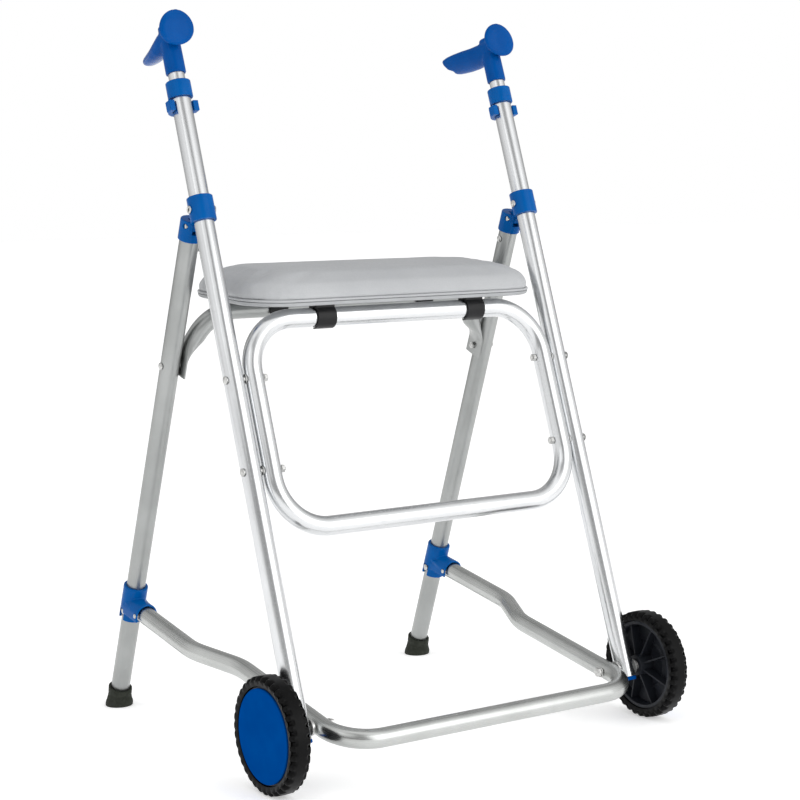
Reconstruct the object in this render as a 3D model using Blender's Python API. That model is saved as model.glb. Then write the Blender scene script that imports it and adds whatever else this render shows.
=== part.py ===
"""Folding walking frame with seat, two front wheels and two height-adjustable handles.

Metres, +Z up. The origin is on the floor under the middle of the frame. The front (wheels) faces -Y
and the person walks behind it, at +Y, so the person's left hand is at +X.
"""

import math

import bmesh
import bpy
from mathutils import Matrix, Vector

# ---------------------------------------------------------------- driving dimensions
GAP = 0.0003                      # air kept between neighbouring pieces
BOLT_RADIUS = 0.0030
BOLT_HOLE = 0.0034
AXLE_RADIUS = 0.0040
AXLE_HOLE = 0.0043
THROUGH = 0.03                    # cutters reach this far past a tube's centre
SIDES = 12                        # faces round a tube
PIN_SIDES = 8                     # faces round a bolt or pin
WHEEL_SIDES = 20
MAIN_LEAN = math.radians(18.85)   # main tubes lean back from upright
LEG_LEAN = math.radians(21.15)    # rear legs lean forward from upright

TUBE_RADIUS = 0.0125
TUBE_WALL = 0.0015
TUBE_X = 0.2475                   # main tubes and rear legs lie in this side plane
MAIN_LENGTH = 0.803               # from the axle up to the open top end
MAIN_TAIL = 0.0128                # from the axle down to the lower end

WHEEL_RADIUS = 0.070
WHEEL_X = 0.2848
TYRE_WIDTH = 0.028
COVER_RADIUS = 0.056
AXLE = Vector((0, -0.2162, WHEEL_RADIUS))

HINGE = Vector((0, 0.0109, 0.6559))       # rear legs swing about this line
LEG_AXIS_Y = 0.2721                       # where the leg axis meets the floor
FOOT_HEIGHT = 0.031
FOOT_RADIUS = 0.01875
FOOT_REAR = -(AXLE.y - WHEEL_RADIUS)      # footprint reaches as far back as the tyres reach forward

HOOP_RADIUS = 0.0122
HOOP_X = 0.2210                   # front hoop sits on the inner side of the main tubes
HOOP_FORWARD = 0.003
HOOP_BEND = 0.066
HOOP_LOW = 0.2336                 # distances along the main tube from the axle
HOOP_HIGH = 0.4957
HOOP_BOLTS = (0.3096, 0.4234)

REAR_BAR_Z = 0.5473               # cross bar that carries the back of the seat
REAR_BOLT_Z = 0.4784
REAR_BEND = 0.056
REAR_HOOP_X = 0.2210
FLAT_END_X = 0.2322
FLAT_HALF_THICKNESS = 0.0024
FLAT_HALF_WIDTH = 0.0165

BASE_RADIUS = 0.0118
BASE_X = 0.2190                   # side bars beside the axles
BASE_END_X = 0.2490               # side bars at the rear legs
BASE_FRONT = -0.0575
BASE_BEND = 0.051
BASE_S_BEND = (0.190, 0.262)      # from the axle, where the side bars step outwards
BASE_S_RADIUS = 0.075
BASE_PIVOT = Vector((0, 0.1756, 0.1409))
BASE_TAIL = 0.005

RIVET_Z = 0.6282
STOP_BOLT_Z = 0.1407
COLLAR_Z = (0.1301, 0.1738)
COLLAR_RADIUS = 0.0165
HOOD_INNER = 0.0135
HOOD_OUTER = 0.0157
HOOD_MOUTH = 0.0158               # from the pivot to the hood's front edge
HOOD_DROP = 0.0085                # the hood's cheeks end this far below the pivot

CLAMP_BOLT = 0.6406               # along the main tube
CLAMP_HALF = 0.016
CLAMP_RADIUS = 0.0165
TONGUE_HALF = 0.005
TONGUE_END = 0.0078
KNUCKLE_RADIUS = 0.0150
KNUCKLE_UP = 0.0078
KNUCKLE_DOWN = 0.024

SLEEVE_LOW = 0.7849
SLEEVE_HIGH = 0.8065
SLEEVE_RADIUS = 0.0157
INNER_RADIUS = 0.0103
INNER_LOW = 0.650
INNER_HIGH = 0.858
HOLE_PITCH = 0.025
STEM_LOW = 0.8173
STEM_RADIUS = 0.0131
KNOB_DROOP = math.radians(8)      # the knob looks this far below square to the tube
CLIP_CENTRE = 0.7745
CLIP_HEIGHT = 0.0135
CLIP_WALL = 0.0052

SEAT_OFFSET = 0.0055              # the seat rests a little off centre on its bars
SEAT_HALF_WIDTH = 0.222
SEAT_FRONT = -0.023               # from the front bar
SEAT_REAR = 0.172
SEAT_CORNER = 0.055
SEAT_LIFT = 0.0168                # underside of the board above the bar's centre
BOARD_THICKNESS = 0.005
PAD_THICKNESS = 0.0352
SEAT_CLIP_OFFSET = 0.0120
SEAT_CLIP_X = 0.1145
SEAT_CLIP_HALF = 0.0140

X = Vector((1, 0, 0))
MAIN_UP = Vector((0, math.sin(MAIN_LEAN), math.cos(MAIN_LEAN)))
MAIN_BACK = Vector((0, math.cos(MAIN_LEAN), -math.sin(MAIN_LEAN)))
LEG_UP = Vector((0, -math.sin(LEG_LEAN), math.cos(LEG_LEAN)))
LEG_BACK = Vector((0, math.cos(LEG_LEAN), math.sin(LEG_LEAN)))
SIDE_NAMES = ((1, "left"), (-1, "right"))


# ---------------------------------------------------------------- scene and materials
for old in list(bpy.data.objects):
    bpy.data.objects.remove(old, do_unlink=True)


def finish(name, colour, roughness, metallic=0.0):
    made = bpy.data.materials.new(name)
    made.use_nodes = True
    shader = made.node_tree.nodes["Principled BSDF"]
    shader.inputs["Base Color"].default_value = (*colour, 1)
    shader.inputs["Roughness"].default_value = roughness
    shader.inputs["Metallic"].default_value = metallic
    made.diffuse_color = (*colour, 1)
    return made


ALUMINIUM = finish("anodised_aluminium", (0.62, 0.64, 0.65), 0.32, 1.0)
STEEL = finish("zinc_steel", (0.55, 0.55, 0.54), 0.25, 1.0)
BLUE = finish("blue_plastic", (0.004, 0.105, 0.46), 0.38)
BLACK = finish("black_plastic", (0.012, 0.012, 0.013), 0.45)
TYRE = finish("tyre_rubber", (0.015, 0.015, 0.016), 0.8)
RUBBER = finish("foot_rubber", (0.035, 0.042, 0.036), 0.85)
VINYL = finish("grey_vinyl", (0.45, 0.47, 0.49), 0.5)
BOARD = finish("grey_board", (0.50, 0.51, 0.52), 0.6)
NYLON = finish("white_nylon", (0.80, 0.80, 0.79), 0.5)


# ---------------------------------------------------------------- solid builders
def ring(centre, u, v, across, along, sides=SIDES):
    """Points of an ellipse round the direction u x v."""
    turns = [2 * math.pi * i / sides for i in range(sides)]
    return [centre + u * (across * math.cos(a)) + v * (along * math.sin(a)) for a in turns]


def skin_mesh(loops):
    """One mesh from lists of rings; each list is (rings, closed)."""
    bm = bmesh.new()
    for rings, closed in loops:
        rows = [[bm.verts.new(p) for p in points] for points in rings]
        pairs = list(zip(rows, rows[1:]))
        if closed:
            pairs.append((rows[-1], rows[0]))
        for low, high in pairs:
            count = len(low)
            for i in range(count):
                j = (i + 1) % count
                bm.faces.new((low[i], low[j], high[j], high[i]))
        if not closed:
            bm.faces.new(rows[0][::-1])
            bm.faces.new(rows[-1])
    return bm


def add(name, bm, material):
    mesh = bpy.data.meshes.new(name)
    bm.to_mesh(mesh)
    bm.free()
    made = bpy.data.objects.new(name, mesh)
    bpy.context.scene.collection.objects.link(made)
    mesh.materials.append(material)
    mesh.shade_smooth()
    mesh.set_sharp_from_angle(angle=math.radians(35))
    return made


def cutter(name, bm):
    made = add(name, bm, BLACK)
    made.hide_render = True
    made.display_type = "WIRE"
    return made


def combine(target, other, operation):
    step = target.modifiers.new(other.name, "BOOLEAN")
    step.operation = operation
    step.object = other
    return target


def cut(target, *others):
    for other in others:
        combine(target, other, "DIFFERENCE")
    return target


def join(target, *others):
    for other in others:
        other.hide_render = True
        other.display_type = "WIRE"
        combine(target, other, "UNION")
    return target


def turned(origin, axis, u, profile, closed=False, sides=SIDES):
    """A turned shape: profile lists (distance along the axis, radius), outer side first."""
    v = axis.cross(u)
    rings = [ring(origin + axis * at, u, v, radius, radius, sides) for at, radius in profile]
    return skin_mesh([(rings, closed)])


def rod(origin, axis, u, start, end, radius, sides=SIDES):
    return turned(origin, axis, u, ((start, radius), (end, radius)), sides=sides)


def cross_rod(place, start, end, radius, sides=PIN_SIDES):
    """A round bar along X at a place in the side plane."""
    low, high = sorted((start, end))
    return rod(Vector((0, place.y, place.z)), X, Vector((0, 1, 0)), low, high, radius, sides)


def cross_turned(place, side, profile, closed=False, sides=PIN_SIDES):
    """A turned piece along X; profile x values are for the left side, innermost first."""
    at = Vector((0, place.y, place.z))
    if side > 0:
        return turned(at, X, Vector((0, 1, 0)), profile, closed, sides)
    return turned(at, -X, Vector((0, 1, 0)), profile, closed, sides)


def fillet(corners, radii, steps, closed=False):
    """Flat polyline with its corners rounded to arcs, each of a number of straight steps."""
    if isinstance(steps, int):
        steps = [steps] * len(corners)
    made = []
    count = len(corners)
    for i, corner in enumerate(corners):
        radius = radii[i]
        if not closed and i in (0, count - 1) or radius == 0:
            made.append(corner)
            continue
        to_last = (corners[i - 1] - corner).normalized()
        to_next = (corners[(i + 1) % count] - corner).normalized()
        half = to_last.angle(to_next) / 2
        centre = corner + (to_last + to_next).normalized() * (radius / math.sin(half))
        start = corner + to_last * (radius / math.tan(half)) - centre
        sweep = math.pi - 2 * half
        if to_last.cross(to_next) > 0:
            sweep = -sweep
        for k in range(steps[i] + 1):
            made.append(centre + Matrix.Rotation(sweep * k / steps[i], 2) @ start)
    return made


def tangents(points, closed=False):
    """Direction of travel at each point of a polyline."""
    count = len(points)
    made = []
    for i in range(count):
        ways = []
        if closed or i:
            ways.append((points[i] - points[i - 1]).normalized())
        if closed or i < count - 1:
            ways.append((points[(i + 1) % count] - points[i]).normalized())
        made.append(((ways[0] + ways[-1]) / 2).normalized())
    return made


def bent_rings(points, normal, radius, closed=False, sides=SIDES):
    made = []
    for point, ahead in zip(points, tangents(points, closed)):
        made.append(ring(point, normal.cross(ahead), normal, radius, radius, sides))
    return made


def straight_tube(name, origin, axis, start, end, radius):
    inner = radius - TUBE_WALL
    profile = ((start, radius), (end, radius), (end, inner), (start, inner))
    return add(name, turned(origin, axis, X, profile, closed=True), ALUMINIUM)


def plate(outline, low, high):
    """A flat shape in the side plane (points are y, z), extruded from x = low to x = high."""
    rings = [[Vector((x, p[0], p[1])) for p in outline] for x in (low, high)]
    area = sum(a[0] * b[1] - b[0] * a[1] for a, b in zip(outline, outline[1:] + outline[:1]))
    if area < 0:
        rings = [points[::-1] for points in rings]
    return skin_mesh([(rings, False)])


def box(low, high, frame=None):
    """A box from low to high in the axes of frame, a list (origin, x, y, z)."""
    origin, a, b, c = frame or (Vector((0, 0, 0)), X, Vector((0, 1, 0)), Vector((0, 0, 1)))
    corners = ((low[0], low[1]), (high[0], low[1]), (high[0], high[1]), (low[0], high[1]))
    rings = [[origin + a * p + b * q + c * r for p, q in corners] for r in (low[2], high[2])]
    return skin_mesh([(rings, False)])


def main_point(distance):
    """A point on the main tube's axis in the middle plane, from the axle up."""
    return AXLE + MAIN_UP * distance


def leg_point(z):
    """The point on the leg axis in the middle plane at a height."""
    return Vector((0, LEG_AXIS_Y - z * math.tan(LEG_LEAN), z))


# ---------------------------------------------------------------- main frame
def main_tube(side, tag):
    origin = AXLE + X * (side * TUBE_X)
    tube = straight_tube(f"main_tube_{tag}", origin, MAIN_UP, -MAIN_TAIL, MAIN_LENGTH, TUBE_RADIUS)
    places = [(AXLE, AXLE_HOLE), (main_point(CLAMP_BOLT), BOLT_HOLE)]
    places += [(main_point(at) - MAIN_BACK * HOOP_FORWARD, BOLT_HOLE) for at in HOOP_BOLTS]
    for number, (place, radius) in enumerate(places):
        hole = cross_rod(place, side * (TUBE_X - THROUGH), side * (TUBE_X + THROUGH), radius)
        cut(tube, cutter(f"cut_main_{tag}_{number}", hole))
    peg_hole = rod(origin + MAIN_UP * CLIP_CENTRE, MAIN_BACK, X, 0.005, 0.02, 0.0035, PIN_SIDES)
    cut(tube, cutter(f"cut_main_peg_{tag}", peg_hole))


def tube_plug(side, tag):
    origin = AXLE + X * (side * TUBE_X)
    inner = TUBE_RADIUS - TUBE_WALL - GAP
    low = -MAIN_TAIL - GAP
    profile = ((low - 0.003, TUBE_RADIUS - 0.001), (low - 0.0022, TUBE_RADIUS), (low, TUBE_RADIUS),
               (low, inner), (low + 0.006, inner))
    add(f"tube_plug_{tag}", turned(origin, MAIN_UP, X, profile), BLUE)


def top_sleeve(side, tag):
    origin = AXLE + X * (side * TUBE_X)
    bore = INNER_RADIUS + GAP
    seat = TUBE_RADIUS + GAP
    shoulder = MAIN_LENGTH + GAP
    skirt = TUBE_RADIUS - TUBE_WALL - GAP
    edge = 0.002
    profile = ((SLEEVE_LOW, SLEEVE_RADIUS), (SLEEVE_HIGH - edge, SLEEVE_RADIUS),
               (SLEEVE_HIGH, SLEEVE_RADIUS - edge), (SLEEVE_HIGH, bore), (SLEEVE_LOW + 0.004, bore),
               (SLEEVE_LOW + 0.004, skirt), (shoulder, skirt), (shoulder, seat), (SLEEVE_LOW, seat))
    add(f"top_sleeve_{tag}", turned(origin, MAIN_UP, X, profile, closed=True), BLUE)


def upper_clamp(side, tag):
    """Band round the main tube with the tongue that the rear leg hinges on."""
    origin = AXLE + X * (side * TUBE_X)
    low = CLAMP_BOLT - CLAMP_HALF
    high = CLAMP_BOLT + CLAMP_HALF
    band = add(f"upper_clamp_{tag}", rod(origin, MAIN_UP, X, low, high, CLAMP_RADIUS), BLUE)
    steps = [math.radians(a) for a in range(-150, 31, 20)]
    end = [HINGE + (MAIN_BACK * math.cos(a) + MAIN_UP * math.sin(a)) * TONGUE_END for a in steps]
    root = [main_point(high - 0.003), main_point(low + 0.001)]
    outline = [(p.y, p.z) for p in end + root]
    tongue = plate(outline, side * TUBE_X - TONGUE_HALF, side * TUBE_X + TONGUE_HALF)
    join(band, add(f"clamp_tongue_{tag}", tongue, BLUE))
    bore = rod(origin, MAIN_UP, X, low - THROUGH, high + THROUGH, TUBE_RADIUS + GAP)
    cut(band, cutter(f"cut_clamp_{tag}", bore))
    for number, place in enumerate((HINGE, main_point(CLAMP_BOLT))):
        hole = cross_rod(place, side * (TUBE_X - THROUGH), side * (TUBE_X + THROUGH), BOLT_HOLE)
        cut(band, cutter(f"cut_clamp_{tag}_{number}", hole))


def clamp_rivet(side, tag):
    head = TUBE_X + CLAMP_RADIUS + GAP
    tail = TUBE_X - CLAMP_RADIUS - GAP
    shank = BOLT_RADIUS
    profile = ((tail - 0.0020, 0.0032), (tail - 0.0012, 0.0048), (tail, 0.0048), (tail, shank),
               (head, shank), (head, 0.0050), (head + 0.0010, 0.0050), (head + 0.0022, 0.0032))
    add(f"clamp_rivet_{tag}", cross_turned(main_point(CLAMP_BOLT), side, profile), STEEL)


def hinge_pin(side, tag):
    half = KNUCKLE_RADIUS + 0.0012
    pin = cross_turned(HINGE, side, ((TUBE_X - half, BOLT_RADIUS), (TUBE_X + half, BOLT_RADIUS)))
    add(f"hinge_pin_{tag}", pin, STEEL)


def front_hoop():
    """Closed rounded loop; its sides are bolted to the insides of the main tubes."""
    corners = [Vector((HOOP_X, HOOP_LOW)), Vector((HOOP_X, HOOP_HIGH)),
               Vector((-HOOP_X, HOOP_HIGH)), Vector((-HOOP_X, HOOP_LOW))]
    flat = fillet(corners, [HOOP_BEND] * 4, 4, closed=True)
    start = AXLE - MAIN_BACK * HOOP_FORWARD
    path = [start + X * p.x + MAIN_UP * p.y for p in flat]
    outer = bent_rings(path, -MAIN_BACK, HOOP_RADIUS, closed=True)
    inner = bent_rings(path, -MAIN_BACK, HOOP_RADIUS - TUBE_WALL, closed=True)
    inner = inner[::-1]
    hoop = add("front_hoop", skin_mesh([(outer, True), (inner, True)]), ALUMINIUM)
    for side, tag in SIDE_NAMES:
        for number, at in enumerate(HOOP_BOLTS):
            place = main_point(at) - MAIN_BACK * HOOP_FORWARD
            hole = cross_rod(place, side * (HOOP_X - THROUGH), side * (HOOP_X + THROUGH), BOLT_HOLE)
            cut(hoop, cutter(f"cut_hoop_{tag}_{number}", hole))


def hoop_bolt(side, tag, level, at):
    """Domed head outside, spacer between the tubes, nut inside."""
    head = TUBE_X + TUBE_RADIUS + GAP
    wide = (HOOP_X + HOOP_RADIUS + GAP, TUBE_X - TUBE_RADIUS - GAP)
    nut = HOOP_X - HOOP_RADIUS - GAP
    shank = BOLT_RADIUS
    profile = ((nut - 0.006, shank), (nut - 0.005, 0.0052), (nut, 0.0052), (nut, shank),
               (wide[0], shank), (wide[0], 0.0060), (wide[1], 0.0060), (wide[1], shank),
               (head, shank), (head, 0.0052), (head + 0.0015, 0.0045), (head + 0.0026, 0.0022))
    place = main_point(at) - MAIN_BACK * HOOP_FORWARD
    add(f"hoop_bolt_{level}_{tag}", cross_turned(place, side, profile), STEEL)


# ---------------------------------------------------------------- wheels
def wheel(side, tag):
    half = TYRE_WIDTH / 2
    bead = COVER_RADIUS + 0.002
    tyre = ((WHEEL_X - half + 0.002, bead + 0.006), (WHEEL_X - half, WHEEL_RADIUS - 0.004),
            (WHEEL_X - half + 0.003, WHEEL_RADIUS), (WHEEL_X + half - 0.003, WHEEL_RADIUS),
            (WHEEL_X + half, WHEEL_RADIUS - 0.004), (WHEEL_X + half - 0.002, bead + 0.006),
            (WHEEL_X + half - 0.003, bead), (WHEEL_X - half + 0.003, bead))
    at = Vector((0, AXLE.y, AXLE.z))
    down = Vector((0, 0, -1))
    axis = X * side
    add(f"tyre_{tag}", turned(at, axis, down, tyre, True, WHEEL_SIDES), TYRE)
    edge = bead - GAP
    inside = WHEEL_X - half + 0.0035
    outside = WHEEL_X + half - 0.0045
    web = WHEEL_X + 0.003
    hub = 0.013
    bore = 0.0068
    hub_end = WHEEL_X - 0.019
    rim = ((inside, edge), (outside, edge), (outside, edge - 0.003), (web + 0.003, edge - 0.003),
           (web + 0.003, hub), (outside - 0.002, hub), (outside - 0.002, bore), (hub_end, bore),
           (hub_end, hub), (web, hub), (web, edge - 0.005), (inside, edge - 0.003))
    body = add(f"wheel_rim_{tag}", turned(at, axis, down, rim, True, WHEEL_SIDES), BLACK)
    ribs = bmesh.new()
    for number in range(8):
        turn = math.radians(22.5 + 45 * number)
        out = Vector((0, math.cos(turn), math.sin(turn)))
        across = axis.cross(out)
        low = (0.0115, -0.0012, WHEEL_X - 0.0085)
        piece = box(low, (edge - 0.0015, 0.0012, web + 0.001), (at, out, across, axis))
        joined = bpy.data.meshes.new("rib")
        bmesh.ops.recalc_face_normals(piece, faces=piece.faces)
        piece.to_mesh(joined)
        piece.free()
        ribs.from_mesh(joined)
        bpy.data.meshes.remove(joined)
    join(body, add(f"wheel_ribs_{tag}", ribs, BLACK))
    cap = WHEEL_X + half
    cover = ((cap - 0.0042, COVER_RADIUS), (cap - 0.0014, COVER_RADIUS),
             (cap - 0.0005, COVER_RADIUS - 0.003), (cap, 0.020))
    add(f"wheel_cover_{tag}", turned(at, axis, down, cover, False, WHEEL_SIDES), BLUE)
    skin = bore - 0.0004
    near = hub_end - 0.0005
    far = outside - 0.0018
    bush = ((near, skin), (far, skin), (far, AXLE_HOLE), (near, AXLE_HOLE))
    add(f"wheel_bush_{tag}", cross_turned(AXLE, side, bush, closed=True), NYLON)


def axle(side, tag):
    """Shoulder bolt: head under the cover, washer against the main tube."""
    inner = TUBE_X - TUBE_RADIUS + 0.0001
    washer = TUBE_X + TUBE_RADIUS + GAP
    head = WHEEL_X + TYRE_WIDTH / 2 - 0.0045 - 0.0015
    shank = AXLE_RADIUS
    profile = ((inner, shank), (washer, shank), (washer, 0.0095), (washer + 0.0026, 0.0095),
               (washer + 0.0026, shank), (head, shank), (head, 0.0060), (head + 0.0014, 0.0060))
    add(f"axle_{tag}", cross_turned(AXLE, side, profile), STEEL)


# ---------------------------------------------------------------- rear frame
def rear_leg(side, tag):
    top = HINGE - LEG_UP * 0.0128
    start = leg_point(0.013)
    length = (top - start).dot(LEG_UP)
    origin = start + X * (side * TUBE_X)
    leg = straight_tube(f"rear_leg_{tag}", origin, LEG_UP, 0, length, TUBE_RADIUS)
    for number, z in enumerate((STOP_BOLT_Z, REAR_BOLT_Z, RIVET_Z)):
        reach = 0 if z == RIVET_Z else THROUGH
        hole = cross_rod(leg_point(z), side * (TUBE_X - THROUGH), side * (TUBE_X + reach), BOLT_HOLE)
        cut(leg, cutter(f"cut_leg_{tag}_{number}", hole))


def foot(side, tag):
    """Flared rubber foot with a level sole."""
    axis_point = leg_point(FOOT_HEIGHT * 0.87) + X * (side * TUBE_X)
    sole = Vector((side * TUBE_X, FOOT_REAR - FOOT_RADIUS, 0))
    y = Vector((0, 1, 0))
    rings = [ring(sole, X, y, FOOT_RADIUS - 0.0008, FOOT_RADIUS - 0.0008),
             ring(sole + Vector((0, 0, 0.0012)), X, y, FOOT_RADIUS, FOOT_RADIUS),
             ring(sole.lerp(axis_point, 0.28), X, (y + LEG_BACK * 0.2).normalized(), 0.0178, 0.0178),
             ring(sole.lerp(axis_point, 0.45), X, (y + LEG_BACK).normalized(), 0.0163, 0.0163),
             ring(axis_point, X, LEG_BACK, 0.0160, 0.0160)]
    rings[0][SIDES // 4] = sole + y * (FOOT_RADIUS - 0.0008)
    solid = add(f"foot_{tag}", skin_mesh([(rings, False)]), RUBBER)
    origin = leg_point(0.0125) + X * (side * TUBE_X)
    cut(solid, cutter(f"cut_foot_{tag}", rod(origin, LEG_UP, X, 0, 0.05, TUBE_RADIUS + GAP)))


def knuckle(side, tag):
    """Forked cap on the rear leg; the clamp's tongue sits between its cheeks."""
    axis_at_hinge = HINGE + LEG_BACK * (leg_point(HINGE.z) - HINGE).dot(LEG_BACK)
    origin = axis_at_hinge + X * (side * TUBE_X)
    cap = add(f"knuckle_{tag}", rod(origin, LEG_UP, X, -KNUCKLE_DOWN, KNUCKLE_UP, KNUCKLE_RADIUS), BLUE)
    socket = rod(origin, LEG_UP, X, -KNUCKLE_DOWN - 0.01, -0.0125, TUBE_RADIUS + GAP)
    slot_frame = (HINGE + X * (side * TUBE_X), X, LEG_BACK, LEG_UP)
    slot = box((-TONGUE_HALF - GAP, -0.04, -0.0098), (TONGUE_HALF + GAP, 0.0098, 0.04), slot_frame)
    band_origin = AXLE + X * (side * TUBE_X)
    band = rod(band_origin, MAIN_UP, X, 0.58, 0.70, CLAMP_RADIUS + 0.0007)
    hole = cross_rod(HINGE, side * (TUBE_X - THROUGH), side * (TUBE_X + THROUGH), BOLT_HOLE)
    cut(cap, cutter(f"cut_knuckle_socket_{tag}", socket), cutter(f"cut_knuckle_slot_{tag}", slot))
    cut(cap, cutter(f"cut_knuckle_band_{tag}", band), cutter(f"cut_knuckle_pin_{tag}", hole))


def knuckle_rivet(side, tag):
    """Blind rivet through the inner wall of the leg, just under the knuckle."""
    face = TUBE_X - TUBE_RADIUS
    profile = ((face - GAP - 0.0022, 0.0024), (face - GAP - 0.0012, 0.0046), (face - GAP, 0.0046),
               (face - GAP, 0.0030), (face + TUBE_WALL + 0.0015, 0.0030))
    add(f"knuckle_rivet_{tag}", cross_turned(leg_point(RIVET_Z), side, profile), STEEL)


def through_bolt(name, place, side, inner_face, outer_face):
    """Round head outside, lock nut inside."""
    head = outer_face + GAP
    nut = inner_face - GAP
    shank = BOLT_RADIUS
    profile = ((nut - 0.0040, shank), (nut - 0.0032, 0.0050), (nut, 0.0050), (nut, shank),
               (head, shank), (head, 0.0048), (head + 0.0014, 0.0042), (head + 0.0024, 0.0022))
    add(name, cross_turned(place, side, profile), STEEL)


def rear_hoop():
    """Inverted U between the rear legs; its ends are flattened and bolted on."""
    rise = (REAR_BAR_Z - REAR_BOLT_Z) / math.cos(LEG_LEAN)
    shift = FLAT_END_X - REAR_HOOP_X
    corners = [Vector((REAR_HOOP_X, -0.013)), Vector((REAR_HOOP_X, 0.010)), Vector((REAR_HOOP_X, rise))]
    corners += [Vector((-p.x, p.y)) for p in corners[::-1]]
    flat = fillet(corners, [0, 0, REAR_BEND, REAR_BEND, 0, 0], 4)
    origin = leg_point(REAR_BOLT_Z)
    flattened = [1, 1, 0.85, 0.5, 0.2, 0.05, 0]
    blend = flattened + flattened[::-1]
    shells = []
    for wall in (0, TUBE_WALL):
        rings = []
        for point, ahead, squash in zip(flat, tangents(flat), blend):
            outward = shift * squash * (1 if point.x > 0 else -1)
            centre = origin + X * (point.x + outward) + LEG_UP * point.y
            direction = X * ahead.x + LEG_UP * ahead.y
            thick = HOOP_RADIUS + (FLAT_HALF_THICKNESS - HOOP_RADIUS) * squash - wall
            wide = HOOP_RADIUS + (FLAT_HALF_WIDTH - HOOP_RADIUS) * squash - wall
            side_way = (-LEG_BACK).cross(direction)
            rings.append(ring(centre, side_way, -LEG_BACK, thick, wide))
        shells.append(rings)
    hoop = add("rear_hoop", skin_mesh([(shells[0] + shells[1][::-1], True)]), ALUMINIUM)
    for side, tag in SIDE_NAMES:
        hole = cross_rod(origin, side * (FLAT_END_X - THROUGH), side * (FLAT_END_X + THROUGH), BOLT_HOLE)
        cut(hoop, cutter(f"cut_rear_hoop_{tag}", hole))


# ---------------------------------------------------------------- base frame and its collars
BASE_BACK = (BASE_PIVOT - AXLE).normalized()
BASE_UP = X.cross(BASE_BACK)


def base_tube():
    """U-shaped tube: front cross bar, side bars past the axles, stepped out to the rear legs."""
    tail = (BASE_PIVOT - AXLE).length + BASE_TAIL
    near, far = BASE_S_BEND
    half = [Vector((tail, BASE_END_X)), Vector((far, BASE_END_X))]
    half += [Vector((near, BASE_X)), Vector((BASE_FRONT, BASE_X))]
    other = [Vector((p.x, -p.y)) for p in half[::-1]]
    radii = [0, BASE_S_RADIUS, BASE_S_RADIUS, BASE_BEND]
    flat = fillet(half + other, radii + radii[::-1], (0, 2, 2, 5, 5, 2, 2, 0))
    path = [AXLE + BASE_BACK * p.x + X * p.y for p in flat]
    outer = bent_rings(path, BASE_UP, BASE_RADIUS)
    inner = bent_rings(path, BASE_UP, BASE_RADIUS - TUBE_WALL)
    tube = add("base_tube", skin_mesh([(outer + inner[::-1], True)]), ALUMINIUM)
    for side, tag in SIDE_NAMES:
        pivot = cross_rod(AXLE, side * (BASE_X - THROUGH), side * (BASE_X + THROUGH), AXLE_HOLE)
        pin = cross_rod(BASE_PIVOT, side * (BASE_END_X - THROUGH), side * (BASE_END_X + THROUGH), BOLT_HOLE)
        cut(tube, cutter(f"cut_base_pivot_{tag}", pivot), cutter(f"cut_base_pin_{tag}", pin))


def base_pivot(side, tag):
    """Spacer, bolt end and nut that hold the base tube to the axle."""
    outer = TUBE_X - TUBE_RADIUS - GAP
    spacer = BASE_X + BASE_RADIUS + GAP
    nut = BASE_X - BASE_RADIUS - GAP
    shank = AXLE_RADIUS
    profile = ((nut - 0.0060, shank), (nut - 0.0052, 0.0070), (nut, 0.0070), (nut, shank),
               (spacer, shank), (spacer, 0.0100), (outer, 0.0100))
    add(f"base_pivot_{tag}", cross_turned(AXLE, side, profile), STEEL)


def slide_collar(side, tag):
    """Sleeve that slides on the rear leg, with a hood open below in which the side bar pivots."""
    centre = X * (side * TUBE_X)
    low = leg_point(COLLAR_Z[0]) + centre
    length = (leg_point(COLLAR_Z[1]) - leg_point(COLLAR_Z[0])).length
    collar = add(f"slide_collar_{tag}", rod(low, LEG_UP, X, 0, length, COLLAR_RADIUS), BLUE)
    reach = (leg_point(BASE_PIVOT.z).y - BASE_PIVOT.y) / BASE_BACK.y
    pivot = BASE_PIVOT + X * (side * BASE_END_X)

    def arch(radius, drop, start, end):
        """Round-topped channel along the side bar, from start (front) to end (rear)."""
        turns = [math.radians(a) for a in range(0, 181, 20)]
        outline = [(radius * math.cos(a), radius * math.sin(a)) for a in turns]
        outline += [(-radius, drop), (radius, drop)]
        rows = [[pivot + BASE_BACK * at + X * p + BASE_UP * q for p, q in outline] for at in (start, end)]
        made = skin_mesh([(rows, False)])
        bmesh.ops.recalc_face_normals(made, faces=made.faces)
        return made

    hood = arch(HOOD_OUTER, -HOOD_DROP, -HOOD_MOUTH, reach - 0.002)
    join(collar, add(f"collar_hood_{tag}", hood, BLUE))
    channel = arch(HOOD_INNER, -HOOD_DROP - 0.02, -HOOD_MOUTH - 0.02, 0.0190)
    cut(collar, cutter(f"cut_collar_bar_{tag}", channel))
    leg_bore = rod(low, LEG_UP, X, -0.05, length + 0.05, TUBE_RADIUS + GAP)
    cut(collar, cutter(f"cut_collar_leg_{tag}", leg_bore))
    hole = cross_rod(BASE_PIVOT, side * (BASE_END_X - THROUGH), side * (BASE_END_X + THROUGH), BOLT_HOLE)
    cut(collar, cutter(f"cut_collar_pin_{tag}", hole))
    notch_frame = (leg_point(STOP_BOLT_Z) + centre, X, LEG_BACK, LEG_UP)
    notch = box((-0.03, -0.0056, -0.03), (0.03, 0.0056, 0.0056), notch_frame)
    cut(collar, cutter(f"cut_collar_notch_{tag}", notch))


def collar_pin(side, tag):
    half = HOOD_OUTER + 0.0010
    profile = ((BASE_END_X - half, BOLT_RADIUS), (BASE_END_X + half, BOLT_RADIUS))
    shape = cross_turned(BASE_PIVOT, side, profile)
    add(f"collar_pin_{tag}", shape, STEEL)


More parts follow.
